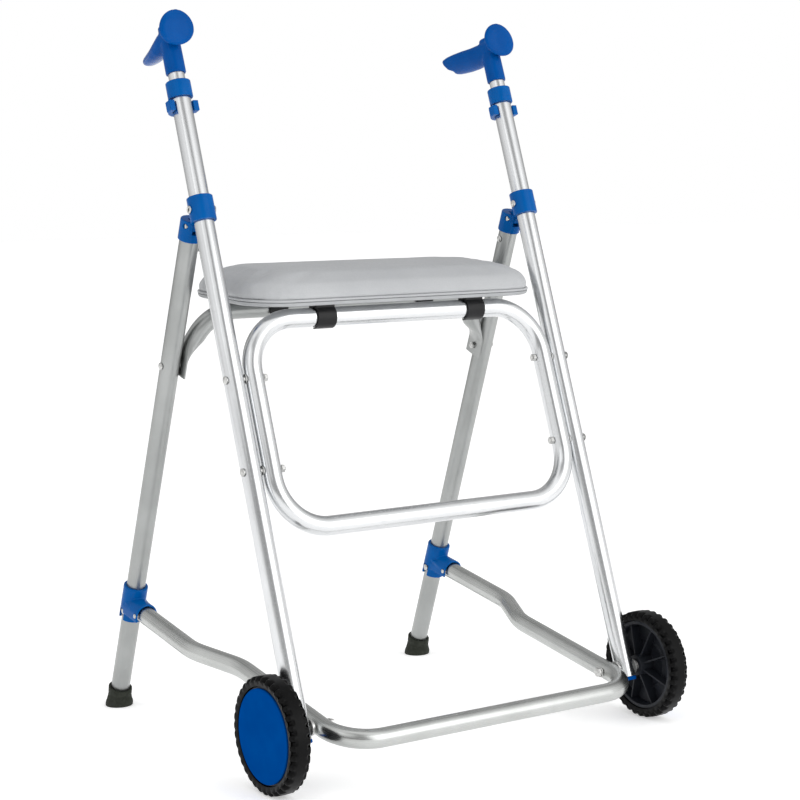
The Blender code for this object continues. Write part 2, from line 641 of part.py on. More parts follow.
# ---------------------------------------------------------------- seat
FRONT_BAR = main_point(HOOP_HIGH) - MAIN_BACK * HOOP_FORWARD
REAR_BAR = leg_point(REAR_BAR_Z)
SEAT_BACK = (REAR_BAR - FRONT_BAR).normalized()
SEAT_UP = X.cross(SEAT_BACK)


def seat_outline(inset):
    """Rounded rectangle, as (x, distance behind the front bar)."""
    wide = SEAT_HALF_WIDTH - inset
    corners = [Vector((wide, SEAT_FRONT + inset)), Vector((wide, SEAT_REAR - inset)),
               Vector((-wide, SEAT_REAR - inset)), Vector((-wide, SEAT_FRONT + inset))]
    return fillet(corners, [SEAT_CORNER - inset * 0.6] * 4, 5, closed=True)


def seat_ring(inset, height):
    origin = FRONT_BAR + X * SEAT_OFFSET + SEAT_UP * height
    return [origin + X * p.x + SEAT_BACK * p.y for p in seat_outline(inset)]


def seat_pad():
    low = SEAT_LIFT + BOARD_THICKNESS + GAP
    high = low + PAD_THICKNESS
    levels = ((0.0010, low), (0, low + 0.003), (0.0015, low + 0.014), (0.009, high - 0.010),
              (0.024, high - 0.003), (0.042, high))
    rings = [seat_ring(inset, height) for inset, height in levels]
    add("seat_pad", skin_mesh([(rings, False)]), VINYL)


def seat_board():
    rings = [seat_ring(0.0015, SEAT_LIFT), seat_ring(0.0015, SEAT_LIFT + BOARD_THICKNESS)]
    add("seat_board", skin_mesh([(rings, False)]), BOARD)


def seat_clip(name, bar, x, front_angle, rear_angle, plate_reach, clearance):
    """Half-open clip round a bar; angles are measured from straight up, towards front and rear."""
    inner = HOOP_RADIUS + clearance
    outer = HOOP_RADIUS + 0.0026
    steps = 9
    turns = [math.radians(-front_angle + (front_angle + rear_angle) * i / steps) for i in range(steps + 1)]
    rim = [(math.sin(a), math.cos(a)) for a in turns]
    outline = [(s * outer, c * outer) for s, c in rim] + [(s * inner, c * inner) for s, c in rim[::-1]]

    def solid(points):
        rows = []
        for across in (-SEAT_CLIP_HALF, SEAT_CLIP_HALF):
            rows.append([bar + X * (x + across) + SEAT_BACK * p + SEAT_UP * q for p, q in points])
        made = skin_mesh([(rows, False)])
        bmesh.ops.recalc_face_normals(made, faces=made.faces)
        return made

    clip = add(name, solid(outline), BLACK)
    top = SEAT_LIFT - GAP
    low = inner + 0.0003
    near, far = plate_reach
    join(clip, add(f"{name}_plate", solid([(near, top), (far, top), (far, low), (near, low)]), BLACK))


# ---------------------------------------------------------------- handles
def inner_tube(side, tag):
    origin = AXLE + X * (side * TUBE_X)
    tube = straight_tube(f"inner_tube_{tag}", origin, MAIN_UP, INNER_LOW, INNER_HIGH, INNER_RADIUS)
    for number in range(5):
        place = origin + MAIN_UP * (CLIP_CENTRE - number * HOLE_PITCH)
        hole = rod(place, MAIN_BACK, X, 0.003, 0.016, 0.0033, PIN_SIDES)
        cut(tube, cutter(f"cut_inner_{tag}_{number}", hole))


def grip(side, tag):
    """Anatomical grip: stem, round front knob and a palm rest that reaches to the rear."""
    origin = AXLE + X * (side * TUBE_X)
    stem_profile = ((STEM_LOW, STEM_RADIUS - 0.0006), (STEM_LOW + 0.001, STEM_RADIUS),
                    (0.866, STEM_RADIUS), (0.884, STEM_RADIUS - 0.0015))
    stem = add(f"grip_{tag}", turned(origin, MAIN_UP, X, stem_profile), BLUE)
    # centre line of the hand piece: (inwards, back, up the tube, half width, half height)
    stations = ((0, -0.0196, 0.8690, 0.0125, 0.0125), (0, -0.0061, 0.8672, 0.0135, 0.0135),
                (0.001, 0.0109, 0.8655, 0.0145, 0.0130), (0.004, 0.0295, 0.8650, 0.0170, 0.0115),
                (0.008, 0.0484, 0.8645, 0.0190, 0.0105), (0.0115, 0.0640, 0.8645, 0.0175, 0.0095),
                (0.0135, 0.0745, 0.8648, 0.0120, 0.0065))
    rings = []
    for inwards, back, up, wide, tall in stations:
        centre = origin + MAIN_BACK * back + MAIN_UP * up - X * (side * inwards)
        rings.append(ring(centre, X, MAIN_UP, wide, tall)[::-1])
    palm = skin_mesh([(rings, False)])
    bmesh.ops.recalc_face_normals(palm, faces=palm.faces)
    facing = -MAIN_BACK * math.cos(KNOB_DROOP) - MAIN_UP * math.sin(KNOB_DROOP)
    knob_at = origin - MAIN_BACK * 0.0200 + MAIN_UP * 0.8690 + X * (side * 0.001)
    knob = ((-0.006, 0.0125), (0, 0.0208), (0.004, 0.0228), (0.0075, 0.0212), (0.0095, 0.014))
    join(stem, add(f"grip_palm_{tag}", palm, BLUE))
    join(stem, add(f"grip_knob_{tag}", turned(knob_at, facing, X, knob), BLUE))
    bore = rod(origin, MAIN_UP, X, STEM_LOW - 0.02, INNER_HIGH + GAP, INNER_RADIUS + GAP)
    cut(stem, cutter(f"cut_grip_{tag}", bore))


def height_clip(side, tag):
    """U-shaped clip behind the main tube; its peg locks the handle height."""
    origin = AXLE + X * (side * TUBE_X) + MAIN_UP * CLIP_CENTRE
    inner = TUBE_RADIUS + 0.0005
    outer = inner + CLIP_WALL
    turns = [math.radians(a) for a in range(0, 181, 20)]
    outline = [(outer * math.cos(a), outer * math.sin(a)) for a in turns]
    outline += [(-outer, -0.006), (-inner, -0.006)]
    outline += [(inner * math.cos(a), inner * math.sin(a)) for a in turns[::-1]]
    outline += [(inner, -0.006), (outer, -0.006)]
    rows = []
    for up in (-CLIP_HEIGHT / 2, CLIP_HEIGHT / 2):
        rows.append([origin + X * p + MAIN_BACK * q + MAIN_UP * up for p, q in outline])
    shell = skin_mesh([(rows, False)])
    bmesh.ops.recalc_face_normals(shell, faces=shell.faces)
    clip = add(f"height_clip_{tag}", shell, BLUE)
    peg = rod(origin, MAIN_BACK, X, INNER_RADIUS + 0.0004, inner + 0.002, 0.0030, PIN_SIDES)
    join(clip, add(f"clip_peg_{tag}", peg, BLUE))


# ---------------------------------------------------------------- build
for side, tag in SIDE_NAMES:
    main_tube(side, tag)
    tube_plug(side, tag)
    top_sleeve(side, tag)
    upper_clamp(side, tag)
    clamp_rivet(side, tag)
    hinge_pin(side, tag)
    hoop_bolt(side, tag, "lower", HOOP_BOLTS[0])
    hoop_bolt(side, tag, "upper", HOOP_BOLTS[1])
    wheel(side, tag)
    axle(side, tag)
    rear_leg(side, tag)
    foot(side, tag)
    knuckle(side, tag)
    knuckle_rivet(side, tag)
    stop_at = leg_point(STOP_BOLT_Z)
    through_bolt(f"stop_bolt_{tag}", stop_at, side, TUBE_X - TUBE_RADIUS, TUBE_X + TUBE_RADIUS)
    flat_inner = FLAT_END_X - FLAT_HALF_THICKNESS
    through_bolt(f"rear_hoop_bolt_{tag}", leg_point(REAR_BOLT_Z), side, flat_inner, TUBE_X + TUBE_RADIUS)
    base_pivot(side, tag)
    slide_collar(side, tag)
    collar_pin(side, tag)
    inner_tube(side, tag)
    grip(side, tag)
    height_clip(side, tag)
    clip_x = SEAT_CLIP_OFFSET + side * SEAT_CLIP_X
    seat_clip(f"front_clip_{tag}", FRONT_BAR, clip_x, 175, 75, (-0.008, 0.034), 0.0004)
    seat_clip(f"rear_clip_{tag}", REAR_BAR, clip_x, 90, 108, (-0.030, 0.016), 0.0008)
front_hoop()
rear_hoop()
base_tube()
seat_board()
seat_pad()
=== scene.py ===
import math

import bmesh
import bpy
from mathutils import Matrix, Vector


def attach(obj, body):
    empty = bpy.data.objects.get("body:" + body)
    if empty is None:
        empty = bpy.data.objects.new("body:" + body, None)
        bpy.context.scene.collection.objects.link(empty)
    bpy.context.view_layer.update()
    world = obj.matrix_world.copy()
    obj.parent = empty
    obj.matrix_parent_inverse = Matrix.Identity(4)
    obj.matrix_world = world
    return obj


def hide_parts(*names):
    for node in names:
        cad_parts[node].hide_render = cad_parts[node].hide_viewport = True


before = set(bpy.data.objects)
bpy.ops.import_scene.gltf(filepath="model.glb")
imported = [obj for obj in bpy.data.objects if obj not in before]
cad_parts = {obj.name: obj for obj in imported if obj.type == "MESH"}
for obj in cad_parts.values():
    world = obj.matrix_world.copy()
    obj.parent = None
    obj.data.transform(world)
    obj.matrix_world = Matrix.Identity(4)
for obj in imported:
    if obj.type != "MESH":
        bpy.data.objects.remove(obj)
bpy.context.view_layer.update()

# ---- dimensions, as in the CAD
X = Vector((1, 0, 0))
Y = Vector((0, 1, 0))
Z = Vector((0, 0, 1))
MAIN_LEAN = math.radians(18.85)
LEG_LEAN = math.radians(21.15)
MAIN_UP = Vector((0, math.sin(MAIN_LEAN), math.cos(MAIN_LEAN)))
MAIN_BACK = Vector((0, math.cos(MAIN_LEAN), -math.sin(MAIN_LEAN)))
LEG_UP = Vector((0, -math.sin(LEG_LEAN), math.cos(LEG_LEAN)))
LEG_BACK = Vector((0, math.cos(LEG_LEAN), math.sin(LEG_LEAN)))
AXLE = Vector((0, -0.2162, 0.070))
HINGE = Vector((0, 0.0109, 0.6559))
BASE_PIVOT = Vector((0, 0.1756, 0.1409))
BASE_BACK = (BASE_PIVOT - AXLE).normalized()
BASE_UP = X.cross(BASE_BACK)
TUBE_X = 0.2475
TUBE_R = 0.0125
WALL = 0.0015
HOOP_R = 0.0122
HOOP_X = 0.2210
HOOP_FORWARD = 0.003
BASE_R = 0.0118
BASE_X = 0.2190
BASE_END_X = 0.2490
WHEEL_X = 0.2848
WHEEL_R = 0.070
SIDE_NAMES = ((1, "left"), (-1, "right"))

# distances along the main tube from the axle, and heights on the rear leg
CLAMP_AT = 0.6406
PEG_AT = 0.7745
FRONT_BAR_AT = 0.4957
REAR_BAR_Z = 0.5473
REAR_HOOP_Z = 0.4784
COLLAR_LOW_Z = 0.1301
COLLAR_HIGH_Z = 0.1738
STOP_Z = 0.1407
KNUCKLE_RIVET_Z = 0.6282

HOLE_PITCH = 0.025
HOLE_R = 0.0033
PIN_R = 0.0030
PIN_HOLE_R = 0.0034
GAP = 0.0003
TUBE_EDGE_ANGLE = 38
MOULDED_EDGE_ANGLE = 50


def share(value, low, span):
    """0 up to low, 1 from low + span on, and straight between."""
    return min(max((value - low) / span, 0), 1)


def main_point(distance):
    return AXLE + MAIN_UP * distance


def leg_point(z):
    return Vector((0, 0.2721 - z * math.tan(LEG_LEAN), z))


FRONT_BAR = main_point(FRONT_BAR_AT) - MAIN_BACK * HOOP_FORWARD
REAR_BAR = leg_point(REAR_BAR_Z)
SEAT_BACK = (REAR_BAR - FRONT_BAR).normalized()
SEAT_UP = X.cross(SEAT_BACK)


# ---- materials
class Nodes:
    """Short calls for building the node tree of a material or world."""

    def __init__(self, owner):
        owner.use_nodes = True
        self.tree = owner.node_tree

    def add(self, kind, **values):
        node = self.tree.nodes.new(kind)
        for key, value in values.items():
            setattr(node, key, value)
        return node

    def join(self, start, end):
        self.tree.links.new(start, end)

    def spread(self, value, low, high, out_low, out_high):
        node = self.add("ShaderNodeMapRange")
        node.inputs["From Min"].default_value = low
        node.inputs["From Max"].default_value = high
        node.inputs["To Min"].default_value = out_low
        node.inputs["To Max"].default_value = out_high
        self.join(value, node.inputs["Value"])
        return node.outputs["Result"]


class Surface(Nodes):
    """A Principled material with procedural colour, roughness and bumps."""

    def __init__(self, name, colour, roughness, metallic=0.0):
        self.made = bpy.data.materials.new(name)
        super().__init__(self.made)
        self.shader = self.tree.nodes["Principled BSDF"]
        self.shader.inputs["Base Color"].default_value = (*colour, 1)
        self.shader.inputs["Roughness"].default_value = roughness
        self.shader.inputs["Metallic"].default_value = metallic
        self.coordinates = self.add("ShaderNodeTexCoord").outputs["Object"]
        self.bumps = []

    def mapped(self, scale, source):
        node = self.add("ShaderNodeMapping")
        node.inputs["Scale"].default_value = scale
        self.join(source, node.inputs["Vector"])
        return node.outputs["Vector"]

    def noise(self, scale, detail=3.0, rough=0.55, source=None):
        node = self.add("ShaderNodeTexNoise")
        node.inputs["Scale"].default_value = scale
        node.inputs["Detail"].default_value = detail
        node.inputs["Roughness"].default_value = rough
        self.join(source or self.coordinates, node.inputs["Vector"])
        return node.outputs["Fac"]

    def cells(self, scale):
        """Distance to the edge of the nearest cell."""
        node = self.add("ShaderNodeTexVoronoi", feature="DISTANCE_TO_EDGE")
        node.inputs["Scale"].default_value = scale
        self.join(self.coordinates, node.inputs["Vector"])
        return node.outputs["Distance"]

    def mix(self, factor, first, second):
        node = self.add("ShaderNodeMix", data_type="RGBA")
        # sockets 6 and 7 are the node's two colours, and output 2 is its colour
        for socket, value in ((node.inputs[6], first), (node.inputs[7], second)):
            if isinstance(value, tuple):
                socket.default_value = (*value, 1)
            else:
                self.join(value, socket)
        self.join(factor, node.inputs["Factor"])
        return node.outputs[2]

    def colour(self, value):
        self.join(value, self.shader.inputs["Base Color"])

    def rough(self, value):
        self.join(value, self.shader.inputs["Roughness"])

    def bump(self, height, strength, distance):
        node = self.add("ShaderNodeBump")
        node.inputs["Strength"].default_value = strength
        node.inputs["Distance"].default_value = distance
        self.join(height, node.inputs["Height"])
        if self.bumps:
            self.join(self.bumps[-1], node.inputs["Normal"])
        self.bumps.append(node.outputs["Normal"])
        self.join(node.outputs["Normal"], self.shader.inputs["Normal"])


def anodised(name, light, dark, roughness):
    """Drawn and anodised tube: fine lines along it, faint clouding, a few dull rub marks."""
    s = Surface(name, light, roughness, 1.0)
    along = s.add("ShaderNodeUVMap", uv_map="UVMap").outputs["UV"]
    lines = s.noise(1.0, 4, 0.6, s.mapped((2600, 9, 1), along))
    cloud = s.noise(16, 3, 0.5)
    marks = s.noise(1.0, 3, 0.6, s.mapped((150, 60, 1), along))
    tone = s.mix(s.spread(cloud, 0.3, 0.7, 0, 1), light, dark)
    s.colour(s.mix(s.spread(marks, 0.62, 0.75, 0, 0.35), tone, (0.42, 0.43, 0.44)))
    s.rough(s.spread(lines, 0.25, 0.75, roughness - 0.03, roughness + 0.05))
    s.bump(lines, 0.045, 0.00003)
    s.bump(s.noise(900, 2), 0.06, 0.00004)
    return s.made


def moulded(name, base, shade, roughness, grain=1400, gloss=0.25):
    """Injection-moulded plastic: fine spark-eroded grain, slight flow clouding, rubbed patches."""
    s = Surface(name, base, roughness)
    cloud = s.spread(s.noise(38, 3, 0.5), 0.32, 0.68, 0, 1)
    s.colour(s.mix(cloud, base, shade))
    rub = s.spread(s.noise(120, 4, 0.65), 0.5, 0.75, 0, 1)
    s.rough(s.spread(rub, 0, 1, roughness, roughness + 0.14))
    s.bump(s.noise(grain, 2), 0.14, 0.00003)
    s.bump(s.noise(60, 2), 0.12, 0.0004)
    s.shader.inputs["Specular IOR Level"].default_value = gloss
    return s.made


def zinc(name):
    """Zinc-plated steel: clouded plating with a fine tooth."""
    s = Surface(name, (0.60, 0.60, 0.59), 0.28, 1.0)
    cloud = s.spread(s.noise(240, 3), 0.35, 0.65, 0, 1)
    s.colour(s.mix(cloud, (0.66, 0.66, 0.65), (0.46, 0.46, 0.45)))
    s.rough(s.spread(s.noise(700, 3), 0.3, 0.7, 0.20, 0.42))
    s.bump(s.noise(1800, 2), 0.2, 0.00003)
    return s.made


def tread_rubber(name):
    """Black tyre rubber with a trace of dust."""
    s = Surface(name, (0.011, 0.011, 0.012), 0.6)
    dust = s.spread(s.noise(300, 4, 0.7), 0.55, 0.8, 0, 0.55)
    s.colour(s.mix(dust, (0.0022, 0.0022, 0.0024), (0.006, 0.0057, 0.0054)))
    s.shader.inputs["Specular IOR Level"].default_value = 0.10
    s.rough(s.spread(s.noise(90, 3), 0.3, 0.7, 0.28, 0.44))
    s.bump(s.noise(1500, 3), 0.35, 0.0001)
    return s.made


def foot_rubber(name):
    """Dull greenish-black rubber with dust."""
    s = Surface(name, (0.030, 0.035, 0.029), 0.75)
    dust = s.spread(s.noise(220, 4, 0.7), 0.45, 0.75, 0, 0.7)
    s.colour(s.mix(dust, (0.015, 0.018, 0.012), (0.036, 0.040, 0.030)))
    s.shader.inputs["Specular IOR Level"].default_value = 0.3
    s.rough(s.spread(s.noise(140, 3), 0.3, 0.7, 0.62, 0.85))
    s.bump(s.noise(1300, 3), 0.3, 0.0001)
    return s.made


def vinyl(name):
    """Coated upholstery: fine leather-like grain in small cells, creases, slight soiling."""
    s = Surface(name, (0.50, 0.52, 0.54), 0.46)
    wear = s.noise(240, 3)
    cells = s.cells(620)
    grain = s.spread(cells, 0.0, 0.35, 0, 1)
    cloud = s.spread(s.noise(9, 4, 0.6), 0.3, 0.7, 0, 1)
    tone = s.mix(cloud, (0.490, 0.500, 0.510), (0.435, 0.445, 0.457))
    s.colour(s.mix(s.spread(grain, 0, 1, 0.22, 0), tone, (0.26, 0.27, 0.29)))
    s.rough(s.spread(wear, 0.3, 0.7, 0.40, 0.55))
    s.bump(grain, 0.32, 0.00022)
    s.bump(s.noise(46, 3), 0.22, 0.0012)
    s.shader.inputs["Sheen Weight"].default_value = 0.08
    return s.made


ALUMINIUM = anodised("anodised_tube", (0.73, 0.74, 0.75), (0.66, 0.67, 0.68), 0.21)
# the rear frame's copy of the tube aluminium is darker: painted shade, as the rear legs and hoop stand in
# shadow
LEG_ALUMINIUM_PAINTED_SHADE = anodised("anodised_leg_painted_shade", (0.41, 0.42, 0.415), (0.34, 0.35, 0.345), 0.34)
# the base tube's copy of the tube aluminium is darker and duller: painted shade for the low bars by the
# floor
BASE_ALUMINIUM_PAINTED_SHADE = anodised("anodised_base", (0.54, 0.55, 0.54), (0.46, 0.47, 0.46), 0.26)
STEEL = zinc("zinc_steel")
BLUE = moulded("blue_plastic", (0.0, 0.100, 0.365), (0.0, 0.086, 0.325), 0.20, 1400, 0.08)
GRIP_BLUE = moulded("blue_grip", (0.0, 0.076, 0.315), (0.0, 0.064, 0.275), 0.18, 1200, 0.06)
COVER_BLUE = moulded("blue_cover", (0.0, 0.062, 0.290), (0.0, 0.054, 0.262), 0.36, 1900, 0.0)
BLACK = moulded("black_plastic", (0.0060, 0.0060, 0.0065), (0.010, 0.010, 0.011), 0.34)
RIM_BLACK = moulded("rim_plastic", (0.011, 0.013, 0.017), (0.016, 0.018, 0.024), 0.42)
TYRE = tread_rubber("tyre_rubber")
RUBBER = foot_rubber("foot_rubber")
VINYL = vinyl("grey_vinyl")
BOARD = moulded("grey_board", (0.42, 0.43, 0.44), (0.36, 0.37, 0.38), 0.5)
NYLON = moulded("white_nylon", (0.72, 0.72, 0.70), (0.62, 0.62, 0.60), 0.45)


# ---- mesh builders
def ring(centre, u, v, across, along, sides):
    """Points of an ellipse in the plane of u and v."""
    turns = [2 * math.pi * i / sides for i in range(sides)]
    return [centre + u * (across * math.cos(a)) + v * (along * math.sin(a)) for a in turns]


def skin(rows, closed=False):
    """Mesh over a list of rings, with UVs in metres: U round the ring and V along it."""
    bm = bmesh.new()
    uv = bm.loops.layers.uv.new("UVMap")
    count = len(rows[0])
    made = [[bm.verts.new(p) for p in points] for points in rows]
    length = 0.0
    pairs = list(zip(range(len(rows)), range(1, len(rows))))
    if closed:
        pairs.append((len(rows) - 1, 0))
    for low, high in pairs:
        middle_low = sum(rows[low], Vector()) / count
        middle_high = sum(rows[high], Vector()) / count
        step = (middle_high - middle_low).length
        radius = (rows[low][0] - middle_low).length
        for i in range(count):
            j = (i + 1) % count
            face = bm.faces.new((made[low][i], made[low][j], made[high][j], made[high][i]))
            round_way = 2 * math.pi * radius / count
            spots = ((i, 0), (i + 1, 0), (i + 1, step), (i, step))
            for loop, (turn, up) in zip(face.loops, spots):
                loop[uv].uv = (turn * round_way, length + up)
        length += step
    if not closed:
        bm.faces.new(made[0][::-1])
        bm.faces.new(made[-1])
    return bm


def link(name, data):
    made = bpy.data.objects.new(name, data)
    bpy.context.scene.collection.objects.link(made)
    return made


def finish_mesh(name, bm, material, sharp=TUBE_EDGE_ANGLE):
    """Object with smooth shading and edges sharper than the angle kept sharp; 0 keeps none."""
    mesh = bpy.data.meshes.new(name)
    bmesh.ops.recalc_face_normals(bm, faces=bm.faces)
    bm.to_mesh(mesh)
    bm.free()
    made = link(name, mesh)
    mesh.materials.append(material)
    mesh.shade_smooth()
    if sharp:
        mesh.set_sharp_from_angle(angle=math.radians(sharp))
    return made


def place(made, body, slot, *nodes):
    """Says which body and CAD nodes a piece belongs to: hangs it under the body and hides those nodes. The
    slot is not used.
    """
    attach(made, body)
    if nodes:
        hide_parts(*nodes)


def sharpen(made, angle):
    """Smooth shading, with edges over the angle kept sharp."""
    made.data.shade_smooth()
    made.data.set_sharp_from_angle(angle=math.radians(angle))


def apply_modifiers(made):
    """Turns the object's modifiers into its mesh."""
    graph = bpy.context.evaluated_depsgraph_get()
    mesh = bpy.data.meshes.new_from_object(made.evaluated_get(graph))
    made.modifiers.clear()
    made.data = mesh


def boolean(target, others, operation):
    """Joins the others to the target or cuts them from it, and removes them."""
    for other in others:
        step = target.modifiers.new("cut", "BOOLEAN")
        step.operation = operation
        step.object = other
    apply_modifiers(target)
    for other in others:
        bpy.data.objects.remove(other)


def remesh(made, voxel):
    step = made.modifiers.new("remesh", "REMESH")
    step.mode = "VOXEL"
    step.voxel_size = voxel


def smooth(made, turns):
    step = made.modifiers.new("smooth", "SMOOTH")
    step.factor = 0.5
    step.iterations = turns


def soften(made, voxel, turns):
    """Voxel remesh and smoothing, which rounds every edge and junction like a moulding."""
    remesh(made, voxel)
    smooth(made, turns)
    apply_modifiers(made)
    made.data.shade_smooth()


def lathe(origin, axis, u, profile, closed=False, sides=48):
    """Turned body from (distance along the axis, radius) points."""
    v = axis.cross(u)
    return skin([ring(origin + axis * at, u, v, r, r, sides) for at, r in profile], closed)


def rounded(profile, radius=0.0004, steps=3, closed=False):
    """The profile with its corners rounded."""
    made = []
    count = len(profile)
    for i, corner in enumerate(profile):
        here = Vector(corner)
        if not closed and i in (0, count - 1):
            made.append(tuple(here))
            continue
        before = Vector(profile[i - 1]) - here
        after = Vector(profile[(i + 1) % count]) - here
        reach = min(radius, before.length * 0.45, after.length * 0.45)
        start = here + before.normalized() * reach
        end = here + after.normalized() * reach
        for k in range(steps + 1):
            t = k / steps
            made.append(tuple(start * (1 - t) ** 2 + here * (2 * t * (1 - t)) + end * t * t))
    return made


def cross_lathe(at, side, profile, closed=False, sides=32):
    """Turned body on a crosswise axis, from (distance from the middle plane, radius) points."""
    return lathe(Vector((0, at.y, at.z)), X * side, Y, profile, closed, sides)


def fillet(corners, radii, steps, closed=False):
    """Flat line through the corners with an arc of the given radius at each."""
    made = []
    count = len(corners)
    for i, corner in enumerate(corners):
        radius = radii[i]
        if not closed and i in (0, count - 1) or radius == 0:
            made.append(corner)
            continue
        to_last = (corners[i - 1] - corner).normalized()
        to_next = (corners[(i + 1) % count] - corner).normalized()
        half = to_last.angle(to_next) / 2
        centre = corner + (to_last + to_next).normalized() * (radius / math.sin(half))
        start = corner + to_last * (radius / math.tan(half)) - centre
        sweep = math.pi - 2 * half
        if to_last.cross(to_next) > 0:
            sweep = -sweep
        for k in range(steps + 1):
            made.append(centre + Matrix.Rotation(sweep * k / steps, 2) @ start)
    return made


def headings(points, closed=False):
    """Direction of the line at each of its points."""
    count = len(points)
    made = []
    for i in range(count):
        ways = []
        if closed or i:
            ways.append((points[i] - points[i - 1]).normalized())
        if closed or i < count - 1:
            ways.append((points[(i + 1) % count] - points[i]).normalized())
        made.append((ways[0] + ways[-1]).normalized())
    return made


def pipe(points, normal, radius, closed=False, wall=None, sides=40):
    """Solid bar on a closed line, or hollow tube on an open one."""
    rows = [ring(p, normal.cross(a), normal, radius, radius, sides)
            for p, a in zip(points, headings(points, closed))]
    if closed:
        return skin(rows, True)
    inner = [ring(p, normal.cross(a), normal, radius - wall, radius - wall, sides)
             for p, a in zip(points, headings(points))]
    return skin(rows + inner[::-1], True)


def rod(origin, axis, u, low, high, radius, sides=40):
    return lathe(origin, axis, u, ((low, radius), (high, radius)), False, sides)


def cutter(bm):
    return finish_mesh("cutter", bm, BLACK)


def cross_hole(x, at):
    """Cutter for a pin hole that runs crosswise through a fitting."""
    start = Vector((x - 0.03, at.y, at.z))
    return rod(start, X, Y, 0, 0.06, PIN_HOLE_R)


def box(low, high, axes):
    """Block between two corners, measured along the axes (origin, a, b, c)."""
    origin, a, b, c = axes
    corners = ((low[0], low[1]), (high[0], low[1]), (high[0], high[1]), (low[0], high[1]))
    return skin([[origin + a * p + b * q + c * r for p, q in corners] for r in (low[2], high[2])])


def paint(made, material):
    """Gives the whole piece one material."""
    made.data.materials.clear()
    made.data.materials.append(material)
    for face in made.data.polygons:
        face.material_index = 0


def mirrored(made, name):
    """A copy on the other side of the middle plane."""
    bm = bmesh.new()
    bm.from_mesh(made.data)
    bmesh.ops.scale(bm, vec=(-1, 1, 1), verts=bm.verts)
    bmesh.ops.reverse_faces(bm, faces=bm.faces)
    mesh = bpy.data.meshes.new(name)
    bm.to_mesh(mesh)
    bm.free()
    mesh.materials.append(made.data.materials[0])
    mesh.shade_smooth()
    return link(name, mesh)


# ---- tubes
def hollow_tube(name, origin, axis, low, high, radius, material):
    inner = radius - WALL
    profile = rounded(((low, radius), (high, radius), (high, inner), (low, inner)), 0.0004, 2, True)
    return finish_mesh(name, lathe(origin, axis, X, profile, True, 56), material)


for side, tag in SIDE_NAMES:
    origin = AXLE + X * (side * TUBE_X)
    tube = hollow_tube(f"fine_main_tube_{tag}", origin, MAIN_UP, -0.0128, 0.803, TUBE_R, ALUMINIUM)
    hole = rod(origin + MAIN_UP * PEG_AT, MAIN_BACK, X, 0.005, 0.02, 0.0035)
    boolean(tube, [cutter(hole)], "DIFFERENCE")
    sharpen(tube, TUBE_EDGE_ANGLE)
    place(tube, "main_frame", "anodised_aluminium", f"main_tube_{tag}")
    inner = hollow_tube(f"fine_inner_tube_{tag}", origin, MAIN_UP, 0.650, 0.858, 0.0103, ALUMINIUM)
    holes = []
    for number in range(5):
        level = origin + MAIN_UP * (PEG_AT - HOLE_PITCH * number)
        holes.append(cutter(rod(level, MAIN_BACK, X, 0.003, 0.016, HOLE_R)))
    boolean(inner, holes, "DIFFERENCE")
    sharpen(inner, TUBE_EDGE_ANGLE)
    place(inner, f"handle_{tag}", "anodised_aluminium", f"inner_tube_{tag}")
    start = leg_point(0.013)
    length = (HINGE - LEG_UP * 0.0128 - start).dot(LEG_UP)
    start = start + X * (side * TUBE_X)
    leg = hollow_tube(f"fine_rear_leg_{tag}", start, LEG_UP, 0, length, TUBE_R, LEG_ALUMINIUM_PAINTED_SHADE)
    place(leg, "rear_frame", "anodised_aluminium", f"rear_leg_{tag}")

corners = [Vector((HOOP_X, 0.2336)), Vector((HOOP_X, FRONT_BAR_AT)),
           Vector((-HOOP_X, FRONT_BAR_AT)), Vector((-HOOP_X, 0.2336))]
flat = fillet(corners, [0.066] * 4, 20, True)
start = AXLE - MAIN_BACK * HOOP_FORWARD
path = [start + X * p.x + MAIN_UP * p.y for p in flat]
place(finish_mesh("fine_front_hoop", pipe(path, -MAIN_BACK, HOOP_R, True), ALUMINIUM),
      "main_frame", "anodised_aluminium", "front_hoop")


def rear_hoop():
    """Inverted U whose ends flatten into bolted tongues."""
    rise = (REAR_BAR_Z - REAR_HOOP_Z) / math.cos(LEG_LEAN)
    side_x = 0.2210
    end_x = 0.2322
    drop = -0.013
    thick_end, wide_end = 0.0024, 0.0165
    corners = [Vector((side_x, drop)), Vector((side_x, rise)),
               Vector((-side_x, rise)), Vector((-side_x, drop))]
    bend = fillet(corners, [0, 0.056, 0.056, 0], 22)
    lead = [Vector((side_x, drop + 0.0015 * k)) for k in range(20)]
    path = lead + bend[1:-1] + [Vector((-p.x, p.y)) for p in lead[::-1]]
    origin = leg_point(REAR_HOOP_Z)
    shells = []
    for wall in (0, WALL):
        rows = []
        for point, ahead in zip(path, headings(path)):
            t = share(point.y, 0.008, 0.034)
            squash = 1 - t * t * (3 - 2 * t)
            outwards = (end_x - side_x) * squash * math.copysign(1, point.x)
            centre = origin + X * (point.x + outwards) + LEG_UP * point.y
            direction = X * ahead.x + LEG_UP * ahead.y
            thick = HOOP_R + (thick_end - HOOP_R) * squash - wall
            wide = HOOP_R + (wide_end - HOOP_R) * squash - wall
            rows.append(ring(centre, (-LEG_BACK).cross(direction), -LEG_BACK, thick, wide, 40))
        shells.append(rows)
    bm = skin(shells[0] + shells[1][::-1], True)
    return finish_mesh("fine_rear_hoop", bm, LEG_ALUMINIUM_PAINTED_SHADE)


place(rear_hoop(), "rear_frame", "anodised_aluminium", "rear_hoop")

tail = (BASE_PIVOT - AXLE).length + 0.005
half = [Vector((tail, BASE_END_X)), Vector((0.262, BASE_END_X)),
        Vector((0.190, BASE_X)), Vector((-0.0575, BASE_X))]
other = [Vector((p.x, -p.y)) for p in half[::-1]]
radii = [0, 0.075, 0.075, 0.051]
flat = fillet(half + other, radii + radii[::-1], 18)
path = [AXLE + BASE_BACK * p.x + X * p.y for p in flat]
place(finish_mesh("fine_base_tube", pipe(path, BASE_UP, BASE_R, wall=WALL), BASE_ALUMINIUM_PAINTED_SHADE),
      "base_frame", "anodised_aluminium", "base_tube")


